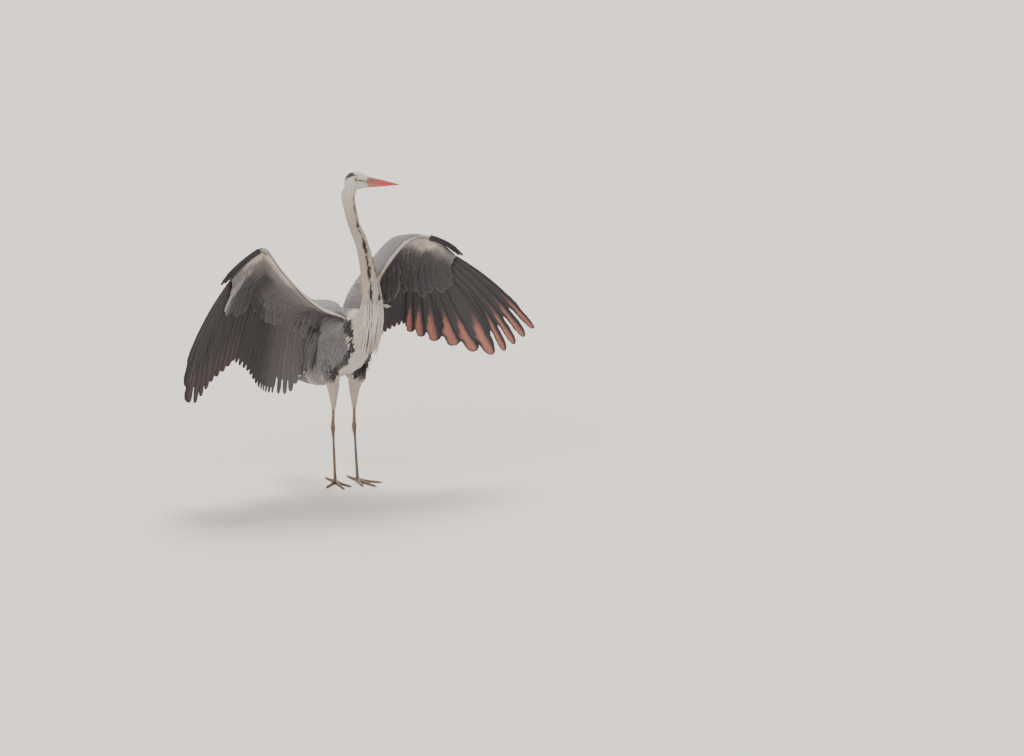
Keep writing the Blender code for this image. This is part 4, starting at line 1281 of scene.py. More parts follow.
def blades(name, solid, roots, controls, tips, joined, colour_of, dorsal, rng, overlap, tilt, thick=0.9):
    """Flight feathers as closed vanes that overlap like slats, each with a raised shaft.

    roots, controls and joined belong to the borders between the feathers, one more than the
    tips. colour_of(along, across, top) gives colours for the two faces.
    """
    rows, count = BLADE_ROWS, len(tips)
    ends = np.vstack([tips[0] + (tips[0] - tips[1]) * 0.4, (tips[:-1] + tips[1:]) / 2,
                      tips[-1] + (tips[-1] - tips[-2]) * 0.25])
    spine = bezier((roots[:-1] + roots[1:]) / 2, (controls[:-1] + controls[1:]) / 2, tips, rows)
    border = bezier(roots, controls, ends, rows)
    widths = []
    for which in (slice(0, -1), slice(1, None)):
        held = joined[which, None]
        free = np.clip((rows - held) / (1 - held), 0, 1)
        share = (1 - 0.14 * np.minimum(free * 3, 1)) * np.sqrt(1 - free**4.5)
        lapped = share * (1 + (overlap - 1) * (1 - step(free, 0, 0.25)))
        widths.append(span_of(border[which] - spine) * lapped)
    run = unit(np.gradient(spine, axis=1))
    side = flatten(unit(border[1:] - border[:-1]), run)
    normal = unit(np.cross(side, run))
    normal *= np.sign(normal @ dorsal)[..., None]
    across = np.linspace(-1, 1, BLADE_COLUMNS)
    ring = np.concatenate([across, across[-2:0:-1]])
    top = np.arange(len(ring)) < BLADE_COLUMNS
    lens = (1 - ring**2) * np.where(top, 1, -1)
    reach = np.where(ring < 0, widths[0][..., None], widths[1][..., None])
    uneven = np.abs(rng.normal(0, 1, reach.shape)) * (np.abs(ring) > 0.8)
    reach = reach * (1 - BLADE_NOTCH * uneven)
    slat = step(rows, 0, 0.2) * (1 - 0.7 * step(rows, 0.75, 1))
    height = BLADE_CAMBER * (1 - ring**2) * reach + tilt * ring * slat[:, None] + lens * thick / 2
    points = spine[:, :, None] + side[:, :, None] * (ring * reach)[..., None] \
        + normal[:, :, None] * height[..., None]
    along = np.broadcast_to(rows[:, None], reach.shape)
    colours = colour_of(along, np.broadcast_to(ring, reach.shape), np.broadcast_to(top, reach.shape))
    colours = colours * rng.normal(1, 0.05, (count, 1, 1, 1))
    mesh = vane_mesh(name, points, ring, tips, rows, colours, colours[:, -1, 0])
    attach(mesh, "flight_feathers", "flight_feather", solid)

    lift = BLADE_CAMBER * 0.9 * np.minimum(*widths)
    raised = spine + normal * lift[..., None]
    half = np.tile(np.interp(rows[:-2], (0, 1), (1.5, 0.35)), (count, 1))
    shafts, ring = vane_points(raised[:, :-2], side[:, :-2], normal[:, :-2], half, SHAFT_DEPTH,
                               under=True)
    tips = spine[:, -2] + normal[:, -2] * lift[:, -3, None]
    mesh = vane_mesh(name + "_shafts", shafts, ring, tips, rows[:-2], QUILL, QUILL)
    attach(mesh, "feather_shafts", "flight_feather")


def remige_colour(side, label):
    """Dark slate above, greyer below, with painted light from behind glowing through the inner web of
    each primary's tip.
    """
    glow_strength, start = {"primaries": (0.8, 0.5), "secondaries": (0.3, 0.82), "tertials": (0.1, 0.88)}[label]
    # The painted backlit glow is full on the left wing and faint on the right.
    glow_strength *= 0.12 if side == "right" else 1

    def colour_of(along, across, top):
        inner = -across
        below = mix(REMEX_UNDER, REMEX_UNDER * 0.72, step(across, 0.1, 0.6))
        below = mix(below, BLACK * 1.8, step(along, 0.93, 1) * 0.6)
        above = mix(REMEX_UPPER, REMEX_UPPER * 1.5, step(inner, 0.2, 0.8))
        if label != "primaries":
            ashy = np.ones(along.shape)
            if label == "secondaries":
                ashy *= step(np.linspace(0, 1, len(along)), 0.5, 1)[:, None, None] * 0.8
            above = mix(above, UPPER_ASH * 0.5, 0.35)
            above = mix(above, UPPER_ASH * 0.75, 0.7 * ashy)
            # Paler grey below; on the right wing the larger share is painted light where the inner
            # underside catches the sky.
            below = mix(below, UNDER_PALE * 0.62, (0.7 if side == "right" else 0.45) * ashy)
        # Painted light: a glow where the sun shines through the inner web near the tip, below and faintly
        # above.
        far = step(along, start, 0.97)
        glow_window = step(along, start, start + 0.26) * step(-along, -1, -0.975)
        glow_window = glow_window * step(inner, -0.06 - 0.3 * far, 0.04 - 0.2 * far) \
            * step(-inner, -0.12 - 0.78 * far, 0.02 - 0.68 * far)
        below = mix(below, BACKLIT_GLOW, glow_window * glow_strength)
        above = mix(above, BACKLIT_GLOW * 0.35, glow_window * glow_strength * 0.3)
        return np.where(top[..., None], above, below)

    return colour_of


def flight_feathers(side, rng):
    dorsal = np.array([0.15 * SIDES[side], 0.8, 0.6])
    for label, curves in remige_borders(side).items():
        overlap, tilt = (1.3, 0.8) if label == "primaries" else (1.6, 0.5)
        blades(f"{label}_vanes_{side}", f"{label}_{side}", *curves, remige_colour(side, label),
               dorsal, rng, overlap, tilt)


def alula_feathers(side, rng):
    """Three short stiff feathers along the front of the hand."""
    wing = WINGS[side]
    lead = smooth(np.arange(8), wing["lead"], (WRIST + 0.35, WRIST + 0.8))
    toward = unit(lead[1] - lead[0])
    front = np.array([0, -1, 0.2])
    upward = unit(np.cross(toward, front))
    upward *= np.sign(upward[2])
    roots = lead[0] + front * 5.5 + np.outer((-7, -2, 3, 8), upward)
    tips = wing["alula"] + np.outer((-4, 0, 4), upward) - np.outer((12, 0, 9), toward)
    controls = (roots + np.vstack([tips[0], tips])) / 2 + front * 4 + upward * 13

    def colour_of(along, across, top):
        dark = np.where(top[..., None], REMEX_UPPER * 0.8, REMEX_UPPER * 0.9)
        # Painted light: a glow through the inner web near the tip, full on the left wing and faint on the
        # right.
        warm = step(along, 0.86, 0.97) * step(-across, 0, 0.6)
        return mix(dark, BACKLIT_GLOW * 0.7, warm * (0.5 if side == "left" else 0.1))

    blades("alula_vanes_" + side, "alula_" + side, roots, controls, tips, np.full(4, 0.8),
           colour_of, np.array([0, 0.3, 1.0]), rng, 1.5, 1.0, 1.2)


def tail_feathers(rng):
    reach = TAIL_TIP - TAIL_ROOT
    across = np.linspace(-1, 1, RECTRICES + 1)
    middle = (across[:-1] + across[1:]) / 2
    roots = TAIL_ROOT + np.outer(across, (TAIL_HALF_ROOT, 0, 0)) - np.outer(across**2, (0, 0, 3))
    tips = TAIL_TIP + np.outer(middle, (TAIL_HALF_TIP, 0, 0)) + np.outer(middle**2, (0, -7, -4))
    controls = roots + reach * 0.5 + np.outer(across, (8, 0, 0))

    def colour_of(along, _across, top):
        tone = np.where(top[..., None], BACK_GREY * 0.62, BACK_GREY * 0.75)
        return mix(tone, tone * 0.6, step(along, 0.86, 0.99))

    blades("tail_vanes", "tail", roots - unit(reach) * 6, controls, tips, np.full(RECTRICES + 1, 0.9),
           colour_of, UP, rng, 1.7, 1, 1)


def tail_coverts(count, rng):
    """Feathers that lap over the roots of the tail."""
    angle = rng.uniform(0, 2 * math.pi, count)
    near = rng.random(count)
    turn = np.sin(angle)
    outward = columns(0.4 * np.cos(angle), 0, turn)
    base = columns(27 * np.cos(angle), 190 + 18 * near, 268 - 4 * near + (25 - 6 * near) * turn)
    reach = rng.uniform(44, 60, count) + 8 * near
    ends = base + unit(TAIL_TIP - TAIL_ROOT) * reach[:, None]
    ends[:, 2] = np.interp(ends[:, 1], *np.transpose([TAIL_ROOT, TAIL_TIP])[1:]) + turn * (10 - 5 * near)
    ends[:, 0] *= 1.05
    colours = mix(REAR_BUFF, BACK_GREY, step(turn, -0.3, 0.3))
    uv = columns(angle / (2 * math.pi), near)
    lances("tail_coverts", base, (base + ends) / 2 + outward * 5, ends,
           rng.uniform(6.5, 9, count), outward, colours, uv, rng, ROUND_SHAPE)


# ---- long plumes
def lances(name, roots, controls, tips, width, normal, colours, uv, rng, shape=LANCE_SHAPE,
           thick=0.6, slot="grey_plumage", replaced=()):
    """Long narrow plumes on quadratic curves."""
    line = bezier(roots, controls, tips, np.append(LONG_ROWS, 1))
    run = unit(np.gradient(line, axis=1))
    normals = flatten(np.broadcast_to(normal[:, None], line.shape), run)
    side = unit(np.cross(run, normals))
    # 0.82 is the painted shade at each root, and 0.1 the painted highlight at the tip.
    plain_vanes(name, slot, line[:, :-1], side[:, :-1], normals[:, :-1], line[:, -1],
                width[:, None] * shape, LONG_ROWS, thick, 0.1, colours, uv, 0.82, 0.1,
                rng.normal(1, 0.05, (len(roots), 1)), replaced)


def breast_plumes(count, rng):
    """Long plumes at the base of the foreneck, pale with dark streaks."""
    share = rng.uniform(-1, 1, count)
    layer = rng.random(count)
    angle = share * BIB_SPREAD
    around = columns(np.sin(angle), -np.cos(angle), 0)
    high = layer * 34
    roots = BIB_CENTRE + around * (BIB_RADIUS - 3.5 - high * 0.12)[:, None] + np.outer(high, UP)
    short = 0.38 - 0.38 * rng.random(count)
    tips = columns(30 * np.sin(angle), 24 * (1 - np.cos(angle)), 34 * np.sin(angle)**2) + BIB_TIP
    tips = tips + np.outer(short * 150 + high * 0.9, UP) + rng.normal(0, 2.2, (count, 3)) * (1, 0.6, 1)
    controls = (BIB_CENTRE + BIB_RADIUS * around) * (1, 1, 0) + (-3, -8, 455)
    controls = controls + np.outer(high * 0.7 + short * 60, UP)
    outward = around * rng.uniform(-1.6, 1.4, (count, 1))
    roots, controls, tips = (places + outward for places in (roots, controls, tips))
    colours = mix(CHEST_CREAM, WHITE, rng.random(count))
    streak = (np.abs(share * 54 + 26) < 15) & (rng.random(count) < 0.26)
    streak |= (np.abs(share * 54 - 16) < 12) & (rng.random(count) < 0.14)
    colours[streak] = mix(BLACK * 2.2, NECK_GREY, 0.08)
    width = rng.uniform(1.5, 2.7, count) * np.where(streak, 0.6, 1)
    uv = columns(share * 0.48 + 0.5, layer * 0.96 + 0.02)
    lances("breast_plume_vanes", roots, controls, tips, width, around, colours, uv, rng,
           thick=0.7, slot="pale_plumage", replaced=("breast_plumes",))


def both_sides(count):
    """1 and -1 by turns."""
    return np.where(np.arange(count) % 2 == 0, 1, -1)


def scapular_plumes(tree, count, rng):
    """Long pale scapulars that fall from the shoulders over the back."""
    sign = both_sides(count)
    along = rng.random(count)
    length = rng.uniform(62, 120, count)
    roots = columns(5 + sign * (4 + 40 * rng.random(count)), -64 + 104 * along, 0)
    tips = roots + columns(sign * rng.uniform(-2, 7, count), length, 0)
    middles = (roots + tips) / 2
    for line, lift in ((roots, 1.5), (middles, 6.5), (tips, 7)):
        line[:, 2] = heights(tree, line) + lift + rng.normal(0, 0.8, count)
    fall = roots[:, 2] - tips[:, 2]
    bend = np.abs(roots[:, 2] + tips[:, 2] - 2 * middles[:, 2])
    good = (fall > 0) & (fall < length) & (bend < 40)
    roots, middles, tips, along = (v[good] for v in (roots, middles, tips, along))
    count = len(roots)
    colours = mix(BACK_GREY, BELLY_WHITE, rng.uniform(0, 0.6, count))
    outward = columns(roots[:, 0] / 70, 0.35, 1)
    uv = columns(np.clip(0.5 + roots[:, 0] / 160, 0, 1), along)
    lances("scapular_plumes", roots, 2 * middles - (roots + tips) / 2, tips,
           rng.uniform(2.8, 4.6, count), outward, colours, uv, rng)


def flank_plumes(count, rng):
    """Long dark feathers between each wing's root and the flank."""
    sign = both_sides(count)
    along = rng.random(count)
    roots = columns(sign * (58 + 8 * along), 18 + 74 * along, 428 - 20 * along + rng.normal(0, 6, count))
    tips = columns(sign * (69 + 9 * along + rng.normal(0, 5, count)), 66 + 50 * along, 326 - 24 * along
                   + rng.normal(0, 9, count))
    controls = (roots + tips) / 2 + columns(sign * 7, 0, 8)
    outward = columns(sign, 0, 0.2)
    colours = BODY_GREY * rng.uniform(0.62, 1.05, (count, 1))
    uv = columns(0.5 + sign * (0.1 + 0.3 * along), along)
    lances("flank_plumes", roots, controls, tips, rng.uniform(7, 11, count), outward, colours,
           uv, rng, ROUND_SHAPE)


# Root, tip and half width of each feather that hangs clear.
BY_THIGH = [(46, -34, 362, 51, -20, 284, 6.5), (48, -32, 366, 56, -27, 300, 7),
            (50, -40, 372, 59, -30, 316, 7), (50, -44, 378, 66, -38, 334, 6.5),
            (50, -50, 384, 69, -42, 343, 6), (47, -26, 356, 50, -12, 296, 6.5)]
BY_BREAST = [(22, -160, 452, 39, -150, 378, 1.6), (20, -164, 446, 34, -152, 372, 1.4),
             (24, -158, 460, 41, -148, 392, 1.6), (78, -92, 518, 106, -90, 510, 3.6),
             (80, -90, 514, 101, -86, 506, 3)]


def loose_plumes(rng):
    """Single feathers, dark by the thigh and pale by the breast."""
    roots, tips, width = np.split(np.array(BY_THIGH + BY_BREAST), (3, 6), axis=1)
    count = len(roots)
    controls = (roots + tips) / 2 + np.outer(np.linspace(1, 0.2, count), (7, -3, 4))
    colours = np.array([BLACK * 1.6] * len(BY_THIGH) + [CHEST_CREAM] * len(BY_BREAST))
    uv = columns(np.linspace(0.05, 0.95, count), 0.5)
    lances("loose_plumes", roots, controls, tips, width[:, 0], np.tile((0.8, -0.6, 0.1), (count, 1)),
           colours, uv, rng)


# ---- eyes
LID_REACH = 1.55            # how far the lid reaches to each side of its own middle, in mm


def eye_line(side):
    """An eye's middle and the way that it looks."""
    sign = SIDES[side]
    return in_head((0, sign * EYE_SIDE, 0)), unit(LEFTWARD * sign + AHEAD * 0.16 - HEADUP * 0.02)


def build_eye(side):
    """An eyeball with a domed cornea, its iris and pupil painted round the line of sight."""
    centre, sight = eye_line(side)
    turn = Vector((0, 0, 1)).rotation_difference(Vector(sight)).to_matrix().to_4x4()
    bm = bmesh.new()
    bmesh.ops.create_uvsphere(bm, u_segments=64, v_segments=48, radius=EYE_RADIUS)
    x, y, z = np.array([vert.co[:] for vert in bm.verts]).T
    off = np.arctan2(np.hypot(x, y), z)
    spin = np.arctan2(y, x)
    fibre = 0.91 + 0.09 * np.sin(spin * 31 + np.sin(spin * 7) * 2)
    gold = np.outer(fibre * (1 - 0.5 * step(off, 0.52, 0.68)), IRIS_GOLD)
    colours = mix(BLACK * 0.5, gold, step(off, 0.38, 0.41))
    colours = mix(colours, (0.03, 0.025, 0.02), step(off, 0.68, 0.72))
    dome = 1 + 0.035 * (1 - step(off, 0.2, 0.75))
    for vert, scale in zip(bm.verts, dome.tolist()):
        vert.co *= scale
    bmesh.ops.transform(bm, verts=bm.verts, matrix=Matrix.Translation(Vector(centre)) @ turn)
    mesh = mesh_from("eyeball_" + side, bm)
    paint(mesh, "Paint", colours)
    attach(mesh, "eye_gloss", "eye", "eye_" + side)


def build_eyelid(side):
    """A soft rim of bare skin that hugs the eyeball, thicker above."""
    centre, sight = eye_line(side)
    across = unit(np.cross(HEADUP, sight))
    over = np.cross(sight, across)
    angle = np.linspace(0, 2 * math.pi, 64, endpoint=False)[:, None]
    bend = np.linspace(0, 2 * math.pi, 12, endpoint=False)[:, None]
    high = np.sin(angle)
    tilt = 0.92 - 0.07 * np.abs(high)
    spoke = across * np.cos(angle) + over * high
    outward = sight * np.cos(tilt) + spoke * np.sin(tilt)
    along = spoke * np.cos(tilt) - sight * np.sin(tilt)
    thick = 0.4 + 0.2 * np.maximum(high, 0) + 0.03 * np.sin(angle * 23)
    places = centre + outward[:, None] * (EYE_RADIUS + 0.1 + np.sin(bend) * thick[:, None]) \
        + along[:, None] * np.cos(bend) * LID_REACH
    bm = bmesh.new()
    join_rings(bm, places, closed=True)
    mesh = mesh_from("eyelid_" + side, bm)
    points = points_of(mesh)
    near = span_of(np.cross(points - centre, sight))
    colours = mix(DARK_SKIN, LORE * 0.6, np.clip(step(near, 4.8, 6.2) + ripple(points, 1.5) * 0.2, 0, 1))
    front = step(-(points - centre) @ HEADUP, 0.5, 3.5) * step(near, 4.7, 5.4)
    paint(mesh, "Paint", mix(colours, (0.3, 0.24, 0.05), front * 0.7))
    attach(mesh, "lid_skin", "white_plumage")


# ---- bill
def bill_taper(share):
    """The bill's width and depth as a share of those at its base."""
    return 1 - share**1.25 * 0.97


def bill_ring(share, upper):
    """A half section of the bill, from its left edge over the ridge to its right edge."""
    taper = bill_taper(share)
    angle = np.linspace(0, math.pi, 33)
    rise = np.sin(angle)**0.9
    if upper:
        depth, groove = UPPER_DEPTH, np.exp(-((rise - 0.55) / 0.1)**2) * 0.1
        groove *= np.interp(share, (0, 0.6, 0.8), (1, 0.5, 0))
    else:
        depth, groove = -LOWER_DEPTH, np.exp(-((rise - 0.45) / 0.12)**2) * 0.08
        groove *= np.interp(share, (0, 0.7), (0.6, 0))
    across = np.cos(angle) * (1 - groove) * BILL_BASE_WIDTH * taper
    saw = 0.12 * math.sin(share * 420) * (share > 0.7) * (rise < 0.05)
    line = MOUTH_LINE + (BILL_TIP_HEIGHT - MOUTH_LINE) * share
    height = line + rise * depth * taper + (0.15 - saw) * (1 if upper else -1)
    return in_head(columns(BILL_BASE + 0.3 + share * CULMEN, across, height))


def bill_colours(points, upper):
    """Pink-red that darkens to the base, with a dusky ridge, and painted shade in the groove and along
    the cutting edge.
    """
    ahead, _, up = to_head(points).T
    share = np.clip((ahead - BILL_BASE) / CULMEN, 0, 1)
    base = (0.23, 0.115, 0.095) if upper else (0.36, 0.13, 0.095)
    colours = mix(base, BILL_PINK, step(share, -0.05, 0.62))
    if upper:
        ridge = step(up, MOUTH_LINE + 9, MOUTH_LINE + 13) * step(-share, -0.4, -0.1)
        colours = mix(colours, (0.17, 0.14, 0.12), ridge * 0.75)
        # Painted shade: a dark line in the groove along the upper mandible.
        groove = MOUTH_LINE + UPPER_DEPTH * bill_taper(share) * 0.5
        slot = np.exp(-((up - groove) / 0.7)**2) * step(share, 0.03, 0.06) * step(-share, -0.62, -0.3)
        colours = mix(colours, (0.03, 0.02, 0.02), slot * 0.78)
    # Painted shade along the seam where the mandibles meet.
    edge = step(-np.abs(up - MOUTH_LINE), -0.9, -0.2) * step(-share, -0.97, -0.9)
    colours = mix(colours, (0.1, 0.05, 0.045), edge * 0.75)
    return colours * (1 + 0.08 * ripple(points * (1, 1, 2), 7)[:, None])


def build_mandible(upper):
    """One half of the bill, with a groove, a sharp cutting edge and a closed back."""
    solid = "bill_upper" if upper else "bill_lower"
    shares = np.concatenate([np.linspace(0, 0.9, 40), np.linspace(0.915, 1, 12)])
    rings = [bill_ring(0, upper) - AHEAD * 3] + [bill_ring(s, upper) for s in shares]
    bm = bmesh.new()
    join_rings(bm, rings)
    mesh = mesh_from(solid + "_horn", bm)
    mesh.set_sharp_from_angle(angle=math.radians(50))
    paint(mesh, "Paint", bill_colours(points_of(mesh), upper))
    attach(mesh, "bill_keratin", "bill_horn", solid)


def chin_feathers(count, rng):
    """Tiny feathers that run forward under the chin, over the bill's base."""
    forward = rng.random(count)
    across = rng.uniform(-1, 1, count) * 6.5 * (1 - forward)**0.7
    start = in_head(columns(BILL_BASE + 2 + forward * 15, across, MOUTH_LINE - LOWER_DEPTH - 2))
    tree = tree_of(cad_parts["bill_lower"].data)
    roots, normals, _ = nearest(tree, start)
    beneath = normals @ HEADUP < -0.5
    roots, normals, across, forward = (v[beneath] for v in (roots, normals, across, forward))
    count = len(roots)
    length = rng.uniform(3.6, 5.4, count)
    uv = columns(0.5 + across / 20, forward * 0.9 + 0.05)
    small_vanes("chin_feathers", "white_plumage", tree, roots, flatten(-AHEAD, normals), length,
                length * 0.13, 1.1 - 0.6 * forward, np.tile(WHITE * 0.95, (count, 1)), uv, rng,
                **TINY, thick=0.25)


def build_nostril(side):
    """A dark slit in the upper mandible's groove, its darkness painted shade for the opening."""
    share, rise = 0.12, 0.42
    taper = bill_taper(share)
    out = BILL_BASE_WIDTH * taper * math.sqrt(1 - rise**2.2) - 0.55
    place = np.array((BILL_BASE + share * CULMEN, SIDES[side] * out,
                      MOUTH_LINE + UPPER_DEPTH * taper * rise))
    bm = bmesh.new()
    bmesh.ops.create_uvsphere(bm, u_segments=24, v_segments=12, radius=1,
                              matrix=Matrix.Diagonal((5, 0.5, 0.8, 1)))
    for vert in bm.verts:
        vert.co = in_head(np.array(vert.co) + place)
    mesh = mesh_from("nostril_" + side, bm)
    paint(mesh, "Paint", (0.03, 0.018, 0.016))
    attach(mesh, "nostril_dark", "bill_horn")


# ---- legs and feet
SHANK_PITCH, TOE_PITCH = 4.6, 3.4       # length of one scute


def skinned_tube(bm, line, radii, count, scute, pitch, front):
    """A closed limb round a line, with overlapping scutes down its front and netted behind."""
    line = np.asarray(line, float)
    length = run_along(line)
    fine = np.linspace(0, length[-1], max(int(length[-1] / (pitch / 6)), 8))
    places = smooth(length, line, fine)
    sizes = smooth(length, np.reshape(radii, (-1, 1)), fine)
    run = unit(np.gradient(places, axis=0))
    ahead = flatten(np.broadcast_to(front, run.shape), run)
    angle = np.linspace(0, 2 * math.pi, count, endpoint=False)
    facing = 0.5 + 0.5 * np.cos(angle)
    far = fine[:, None] / pitch
    plate = ((far % 1)**0.6 - 0.5) * facing**0.7
    net = 0.5 * np.sin(far * 9 + angle * 5) * (1 - facing)
    radius = sizes * (1 + scute * (plate + net))
    rings = places[:, None] + (np.cos(angle) * radius)[..., None] * ahead[:, None] \
        + (np.sin(angle) * radius)[..., None] * np.cross(run, ahead)[:, None]
    join_rings(bm, rings)


def toe_lines(side):
    """Each toe's name, centre line, direction and claw length."""
    for label, spread, length, claw in TOES:
        yaw = math.radians(FEET[side]["yaw"]) + math.radians(spread) * SIDES[side]
        ahead = np.array([math.sin(yaw), -math.cos(yaw), 0])
        line = np.outer(np.array([0, 0.22, 0.45, 0.7, 1.0]) * length, ahead) \
            + np.outer((8, 5, 3.4, 3, 2.9), UP)
        yield label, line + np.array(FEET[side]["hub"]) * (1, 1, 0), ahead, claw


def build_leg(side):
    """Bare leg and foot, with scutes in front, netted skin behind and soft pads."""
    ankle = np.array(FEET[side]["ankle"], float)
    hub = np.array(FEET[side]["hub"], float)
    knee = np.array(THIGHS[side][-1][:3]) + (0, 0, 8)
    bm = bmesh.new()
    stops = [knee, knee + (ankle - knee) * 0.55, ankle + (0, 0, 10), ankle, ankle - (0, 0.6, 10)]
    stops += [ankle + (hub - ankle) * share for share in (0.14, 0.5, 0.86, 1)]
    skinned_tube(bm, stops, (4.6, 4.2, 5.2, 6.7, 5.9, 4.4, 3.9, 4.3, 5), 24, 0.07, SHANK_PITCH, FRONT)
    for _, line, _, _ in toe_lines(side):
        skinned_tube(bm, line, (4.5, 4.2, 3.7, 3.5, 2.9), 16, 0.09, TOE_PITCH, UP)
    for vert in bm.verts:
        if vert.co.z < 0.05:
            vert.co.z = 0.0
    ball = Matrix.Translation(Vector(hub) - Vector((0, 0, 1))) @ Matrix.Diagonal((7.3, 7.8, 6.4, 1))
    bmesh.ops.create_uvsphere(bm, u_segments=24, v_segments=14, radius=1, matrix=ball)
    mesh = mesh_from("leg_" + side, bm)
    points = points_of(mesh)
    z = points[:, 2]
    colours = mix(LEG_BROWN, (0.21, 0.1, 0.072), step(z, 150, 205))
    colours = colours * (1 + 0.18 * ripple(points, 5)[:, None])
    # Painted shade: darker where the foot meets the floor.
    colours = mix(colours, LEG_BROWN * 0.6, step(-z, -5, -1) * 0.6)
    # Painted shade: dark lines in the creases between scutes, on the shank and along the toes.
    away = span_of((points - hub)[:, :2])
    along = np.where(z > 14, z / SHANK_PITCH, away / TOE_PITCH)
    colours = colours * (1 - 0.36 * np.exp(-((along % 1 - 0.5) / 0.15)**2)[:, None])
    paint(mesh, "Paint", colours)
    attach(mesh, "leg_scales", "leg_skin", "shank_" + side, "foot_" + side)


def build_claws(side):
    """A curved claw on each toe, the middle one with a comb on its inner edge."""
    bm = bmesh.new()
    for label, line, ahead, claw in toe_lines(side):
        end = line[-1]
        curve = [end - ahead * 2.5, end + ahead * claw * 0.3 + (0, 0, 0.7),
                 end + ahead * claw * 0.72 + (0, 0, 0.1), end + ahead * claw - (0, 0, 1.9)]
        skinned_tube(bm, curve, (2.2, 1.9, 1.25, 0.35), 12, 0, 3, UP)
        if label == "middle":
            inner = np.cross(ahead, UP) * (-SIDES[side])
            for tooth in range(9):
                place = end + ahead * (1 + tooth * 0.7) + inner * (1.9 - tooth * 0.1)
                size = Matrix.Translation(Vector(place)) @ Matrix.Diagonal((0.5, 0.5, 0.22, 1))
                bmesh.ops.create_cube(bm, size=1, matrix=size)
    mesh = mesh_from("claws_" + side, bm)
    paint(mesh, "Paint", (0.028, 0.022, 0.02))
    attach(mesh, "claw_horn", "leg_skin")


# ---- settings
class HeronPlumageSettings(bpy.types.PropertyGroup):
    skin_cell: FloatProperty(
        name="Skin cell", description="Size of the skin's faces, in millimetres",
        default=3.15, min=2.0, max=6.0)
    density: FloatProperty(
        name="Feather density", description="How closely the small feathers are set",
        default=1.0, min=0.3, max=1.5, subtype="FACTOR")
    breast_plumes: IntProperty(
        name="Breast plumes", description="How many long plumes hang from the foreneck",
        default=330, min=20, max=600)
    scapular_plumes: IntProperty(
        name="Scapular plumes", description="How many long plumes fall over the back",
        default=150, min=0, max=400)
    seed: IntProperty(
        name="Seed", description="Start of the feathers' random differences",
        default=7, min=0)


class HeronStageSettings(bpy.types.PropertyGroup):
    azimuth: FloatProperty(
        name="Azimuth", description="Camera's turn round the bird from its front",
        default=math.radians(-25), subtype="ANGLE")
    elevation: FloatProperty(
        name="Elevation", description="Camera's height angle", default=math.radians(12),
        subtype="ANGLE")
    distance: FloatProperty(
        name="Distance", description="From the camera to the bird", default=31.9, unit="LENGTH")
    lens: FloatProperty(name="Lens", description="Focal length in millimetres", default=400.0)
    rightward: FloatProperty(
        name="Aim right", description="View's middle to the right of the point aimed at",
        default=0.4718, unit="LENGTH")
    upward: FloatProperty(
        name="Aim up", description="View's middle above the point aimed at",
        default=0.0868, unit="LENGTH")
    floor_colour: FloatVectorProperty(
        name="Floor", description="Colour of the plain floor", subtype="COLOR", size=3,
        default=(0.78, 0.75, 0.72), min=0, max=1)
    key_strength: FloatProperty(
        name="Key light", description="Strength of the light from high behind the bird",
        default=3.8, min=0)
    fill_strength: FloatProperty(
        name="Fill light", description="Strength of the wide light from the front",
        default=2.3, min=0)


def settings(context):
    return context.scene.heron_plumage


def rng_for(context, number):
    """A generator of its own for each piece, so that pieces can be built in any order."""
    return np.random.default_rng(settings(context).seed * 1000 + number)


# ---- operators
class HERON_OT_skin(bpy.types.Operator):
    """Build the one skin that lies under the plumage"""
    bl_idname = "heron.skin"
    bl_label = "Skin"

    def execute(self, context):
        build_skin(settings(context).skin_cell)
        return {"FINISHED"}


class HERON_OT_body_coat(bpy.types.Operator):
    """Cover the head, neck, trunk and thighs with small feathers"""
    bl_idname = "heron.body_coat"
    bl_label = "Body plumage"

    def execute(self, context):
        tree = tree_of(bpy.data.objects["skin"].data)
        density = settings(context).density
        coat_head(tree, density, rng_for(context, 1))
        coat_neck(tree, density, rng_for(context, 2))
        coat_trunk(tree, density, rng_for(context, 3))
        for number, side in enumerate(SIDES):
            coat_thigh(side, tree, density, rng_for(context, 4 + number))
            coat_eye_ring(side, tree, rng_for(context, 70 + number))
        scapular_plumes(tree, settings(context).scapular_plumes, rng_for(context, 6))
        flank_plumes(140, rng_for(context, 7))
        loose_plumes(rng_for(context, 8))
        return {"FINISHED"}


class HERON_OT_breast(bpy.types.Operator):
    """Hang the long plumes at the base of the foreneck"""
    bl_idname = "heron.breast"
    bl_label = "Breast plumes"

    def execute(self, context):
        breast_plumes(settings(context).breast_plumes, rng_for(context, 10))
        return {"FINISHED"}


class HERON_OT_coverts(bpy.types.Operator):
    """Lay rows of coverts over and under both wings"""
    bl_idname = "heron.coverts"
    bl_label = "Wing coverts"

    def execute(self, context):
        for number, (side, upper) in enumerate(product(SIDES, (True, False)), 20):
            coverts(side, upper, settings(context).density, rng_for(context, number))
        return {"FINISHED"}


class HERON_OT_flight_feathers(bpy.types.Operator):
    """Build the primaries, secondaries, tertials and alulas"""
    bl_idname = "heron.flight_feathers"
    bl_label = "Flight feathers"

    def execute(self, context):
        for number, side in enumerate(SIDES):
            flight_feathers(side, rng_for(context, 30 + number))
            alula_feathers(side, rng_for(context, 40 + number))
        return {"FINISHED"}


class HERON_OT_tail(bpy.types.Operator):
    """Build the tail feathers and their coverts"""
    bl_idname = "heron.tail"
    bl_label = "Tail"

    def execute(self, context):
        rng = rng_for(context, 50)
        tail_feathers(rng)
        tail_coverts(120, rng)
        return {"FINISHED"}


class HERON_OT_eyes(bpy.types.Operator):
    """Build the eyes and their lids"""
    bl_idname = "heron.eyes"
    bl_label = "Eyes"

    def execute(self, context):
        for side in SIDES:
            build_eye(side)
            build_eyelid(side)
        return {"FINISHED"}


